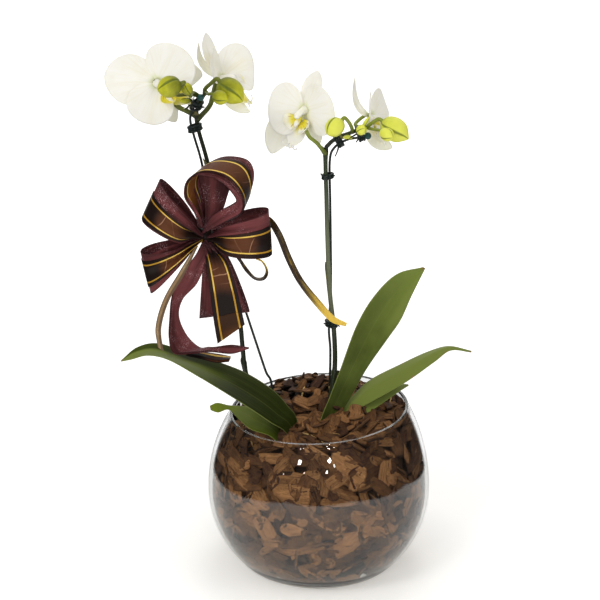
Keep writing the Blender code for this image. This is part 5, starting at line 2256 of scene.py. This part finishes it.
@dataclass
class Studio:
    """The pale floor, the soft light and the camera."""

    # Where the camera stands and the point that it faces, in millimetres.
    camera_at: Point = (-17, -2000, 1024.67)
    aim_at: Point = (-17, 0, 252.36)
    lens: float = 146.1
    table_edge: Sequence[Pair] = (
        (0.18, 0.25), (-0.2, 0.27), (-0.36, 0.1), (-0.42, -0.02), (-0.5, -0.2),
        (-0.52, -0.82), (0.13, -0.9), (0.52, -0.8), (0.56, -0.44), (0.51, 0.02),
    )
    # The floor's emission, by the distance in metres from the bowl's middle times glow_scale; its
    # dim middle round the bowl's foot is a painted shadow.
    glow_scale: float = 0.7
    glow_and_shadow: tuple[tuple[float, Colour], ...] = (
        (0.045, (0.33, 0.315, 0.29)), (0.11, (0.5, 0.5, 0.49)), (0.18, (0.5, 0.5, 0.49)),
        (0.9, (0.95, 0.95, 0.95)),
    )
    floor_radius: float = 9.0
    fill: float = 0.42
    bounce: float = 0.98

    def sheet(self, name: str, edge: Sequence[Pair], height: float) -> bpy.types.Object:
        """Adds a flat white sheet that lights nothing else.

        Args:
            name: its name.
            edge: the corners of its outline.
            height: the height that it lies at.

        Returns:
            The sheet.
        """
        mesh = bpy.data.meshes.new(name)
        mesh.from_pydata([(x, y, height) for x, y in edge], [], [tuple(range(len(edge)))])
        shader = Shader(name)
        away = shader.node("VectorMath", {"operation": "LENGTH"}, {0: shader.place()})
        far = Value(shader, away.outputs["Value"])
        finish = shader.dressed(
            base_color=(0.8, 0.79, 0.77),
            roughness=0.9,
            specular_ior_level=0.0,
            # Dimmer round the bowl's foot: a painted shadow on the floor.
            emission_color=shader.ramp(far * self.glow_scale, *self.glow_and_shadow),
            emission_strength=1.0,
        )
        mesh.materials.append(finish)
        obj = linked(name, mesh)
        obj.visible_diffuse = False
        return obj

    def floor(self) -> None:
        """A wide white floor, and the white table top that only mirrors and glass see."""
        turns = [tau * k / 96 for k in range(96)]
        wide = [(self.floor_radius * cos(a), self.floor_radius * sin(a)) for a in turns]
        floor = self.sheet("floor", wide, 0.0)
        floor.visible_glossy = floor.visible_transmission = False
        table = self.sheet("table_top", self.table_edge, -0.0004)
        table.visible_camera = table.visible_shadow = False

    def world(self) -> None:
        """White all round for the eye, soft for the light; mirrored, the front is a dark room."""
        world = bpy.data.worlds.new("room")
        bpy.context.scene.world = world
        shader = Shader("room", world)
        direction = shader.node("TexCoord", {}, {}).outputs["Generated"]
        way = shader.node("SeparateXYZ", {}, {0: direction}).outputs
        back, up = Value(shader, way["Y"]), Value(shader, way["Z"])
        paths = shader.node("LightPath", {}, {}).outputs
        far = back.between(0.78, 0.86)
        sky = up.between(0.4, 0.6) * back.between(-0.1, 0.15) * 0.9
        ceiling = up.between(0.87, 0.95) * 0.9
        mirrored = shader.math("MAXIMUM", shader.math("MAXIMUM", far, sky), ceiling) + 0.02
        soft = (1 - up.between(-0.3, 0.1)) * (self.bounce - self.fill) + self.fill
        light = shader.node("Background", {}, {0: (1.0, 1.0, 1.0, 1.0)}).outputs[0]
        for bounces, colour, strength in (
            ("Glossy Depth", mirrored, 1.0),
            ("Diffuse Depth", (1.0, 0.99, 0.975, 1.0), soft),
        ):
            seen = shader.node("Background", {}, {0: colour, 1: strength}).outputs[0]
            light = shader.layered(paths[bounces], light, seen)
        shader.node("OutputWorld", {}, {"Surface": light})

    def lamp(
        self, name: str, at: Point, aim: Point, size: float, power: float, mirrored: bool = False
    ) -> None:
        """Adds a square lamp.

        Args:
            name: its name.
            at: where it hangs, in metres.
            aim: the point it faces.
            size: the length of its side.
            power: its watts.
            mirrored: whether glossy surfaces show it.
        """
        data = bpy.data.lights.new(name, "AREA")
        data.shape = "SQUARE"
        data.size = size
        data.energy = power
        obj = self.aimed(name, data, Vector(at), Vector(aim))
        obj.visible_glossy = mirrored
        obj.visible_transmission = False
        obj.visible_camera = False

    def aimed(self, name: str, data: bpy.types.ID, at: Vector, aim: Vector) -> bpy.types.Object:
        """Adds a lamp or camera that faces a point.

        Args:
            name: its name.
            data: the lamp or camera.
            at: where it stands.
            aim: the point.

        Returns:
            Its object.
        """
        obj = linked(name, data)
        obj.location = at
        obj.rotation_mode = "QUATERNION"
        obj.rotation_quaternion = (aim - at).to_track_quat("-Z", "Y")
        return obj

    def lamps(self) -> None:
        """A soft key from the upper left, a fill, and the small lamps that the glass mirrors."""
        aim = (0.0, 0.0, 0.22)
        self.lamp("key", (-1.3, -1.5, 2.1), aim, 0.8, 18.0)
        self.lamp("fill", (1.7, -0.9, 1.5), aim, 1.0, 5.0)
        self.lamp("top", (0.2, 0.9, 2.2), aim, 0.8, 7.5)
        belly = Vector((0.0, -0.087, 0.13))
        spots = (
            (-25, 23.3, 0.17, 5.0), (10, 24.8, 0.17, 5.0), (16, 20.0, 0.1, 1.2),
            (7, 16.2, 0.11, 1.4), (-40, 12.8, 0.05, 0.3), (-18, 16.2, 0.05, 0.3),
        )
        for k, (turn, lift, size, power) in enumerate(spots):
            a, e = radians(turn), radians(lift)
            way = Vector((sin(a) * cos(e), -cos(a) * cos(e), sin(e)))
            self.lamp(f"window_{k}", tuple(belly + way * 2.6), tuple(belly), size, power, True)

    def camera(self) -> None:
        """The camera at the height and tilt of the view."""
        data = bpy.data.cameras.new("camera")
        data.lens = self.lens
        data.sensor_width = 36.0
        data.clip_start, data.clip_end = 0.05, 60.0
        at, aim = mm(*self.camera_at), mm(*self.aim_at)
        bpy.context.scene.camera = self.aimed("camera", data, at, aim)

    def build(self) -> None:
        """Makes the setting."""
        self.camera()
        self.floor()
        self.world()
        self.lamps()
        bpy.context.scene.view_settings.view_transform = "Standard"


def main() -> None:
    """Builds every piece in order."""
    logging.basicConfig(level=logging.INFO, format="%(name)s %(message)s")
    Studio().build()
    bowl = Bowl()
    bowl.build()
    Bark(bowl).build()
    for part in (*LEAVES, *FLOWERS, *BUDS, *SPIKES, *CLIPS, Bow()):
        part.build()
    roots = PlainFinish("root_skin", (0.3, 0.32, 0.2), (0.42, 0.42, 0.32), 0.6, scale=120.0)
    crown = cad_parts["crown_with_roots"]
    crown.data.materials.clear()
    crown.data.materials.append(roots.make())


if __name__ == "__main__":
    main()
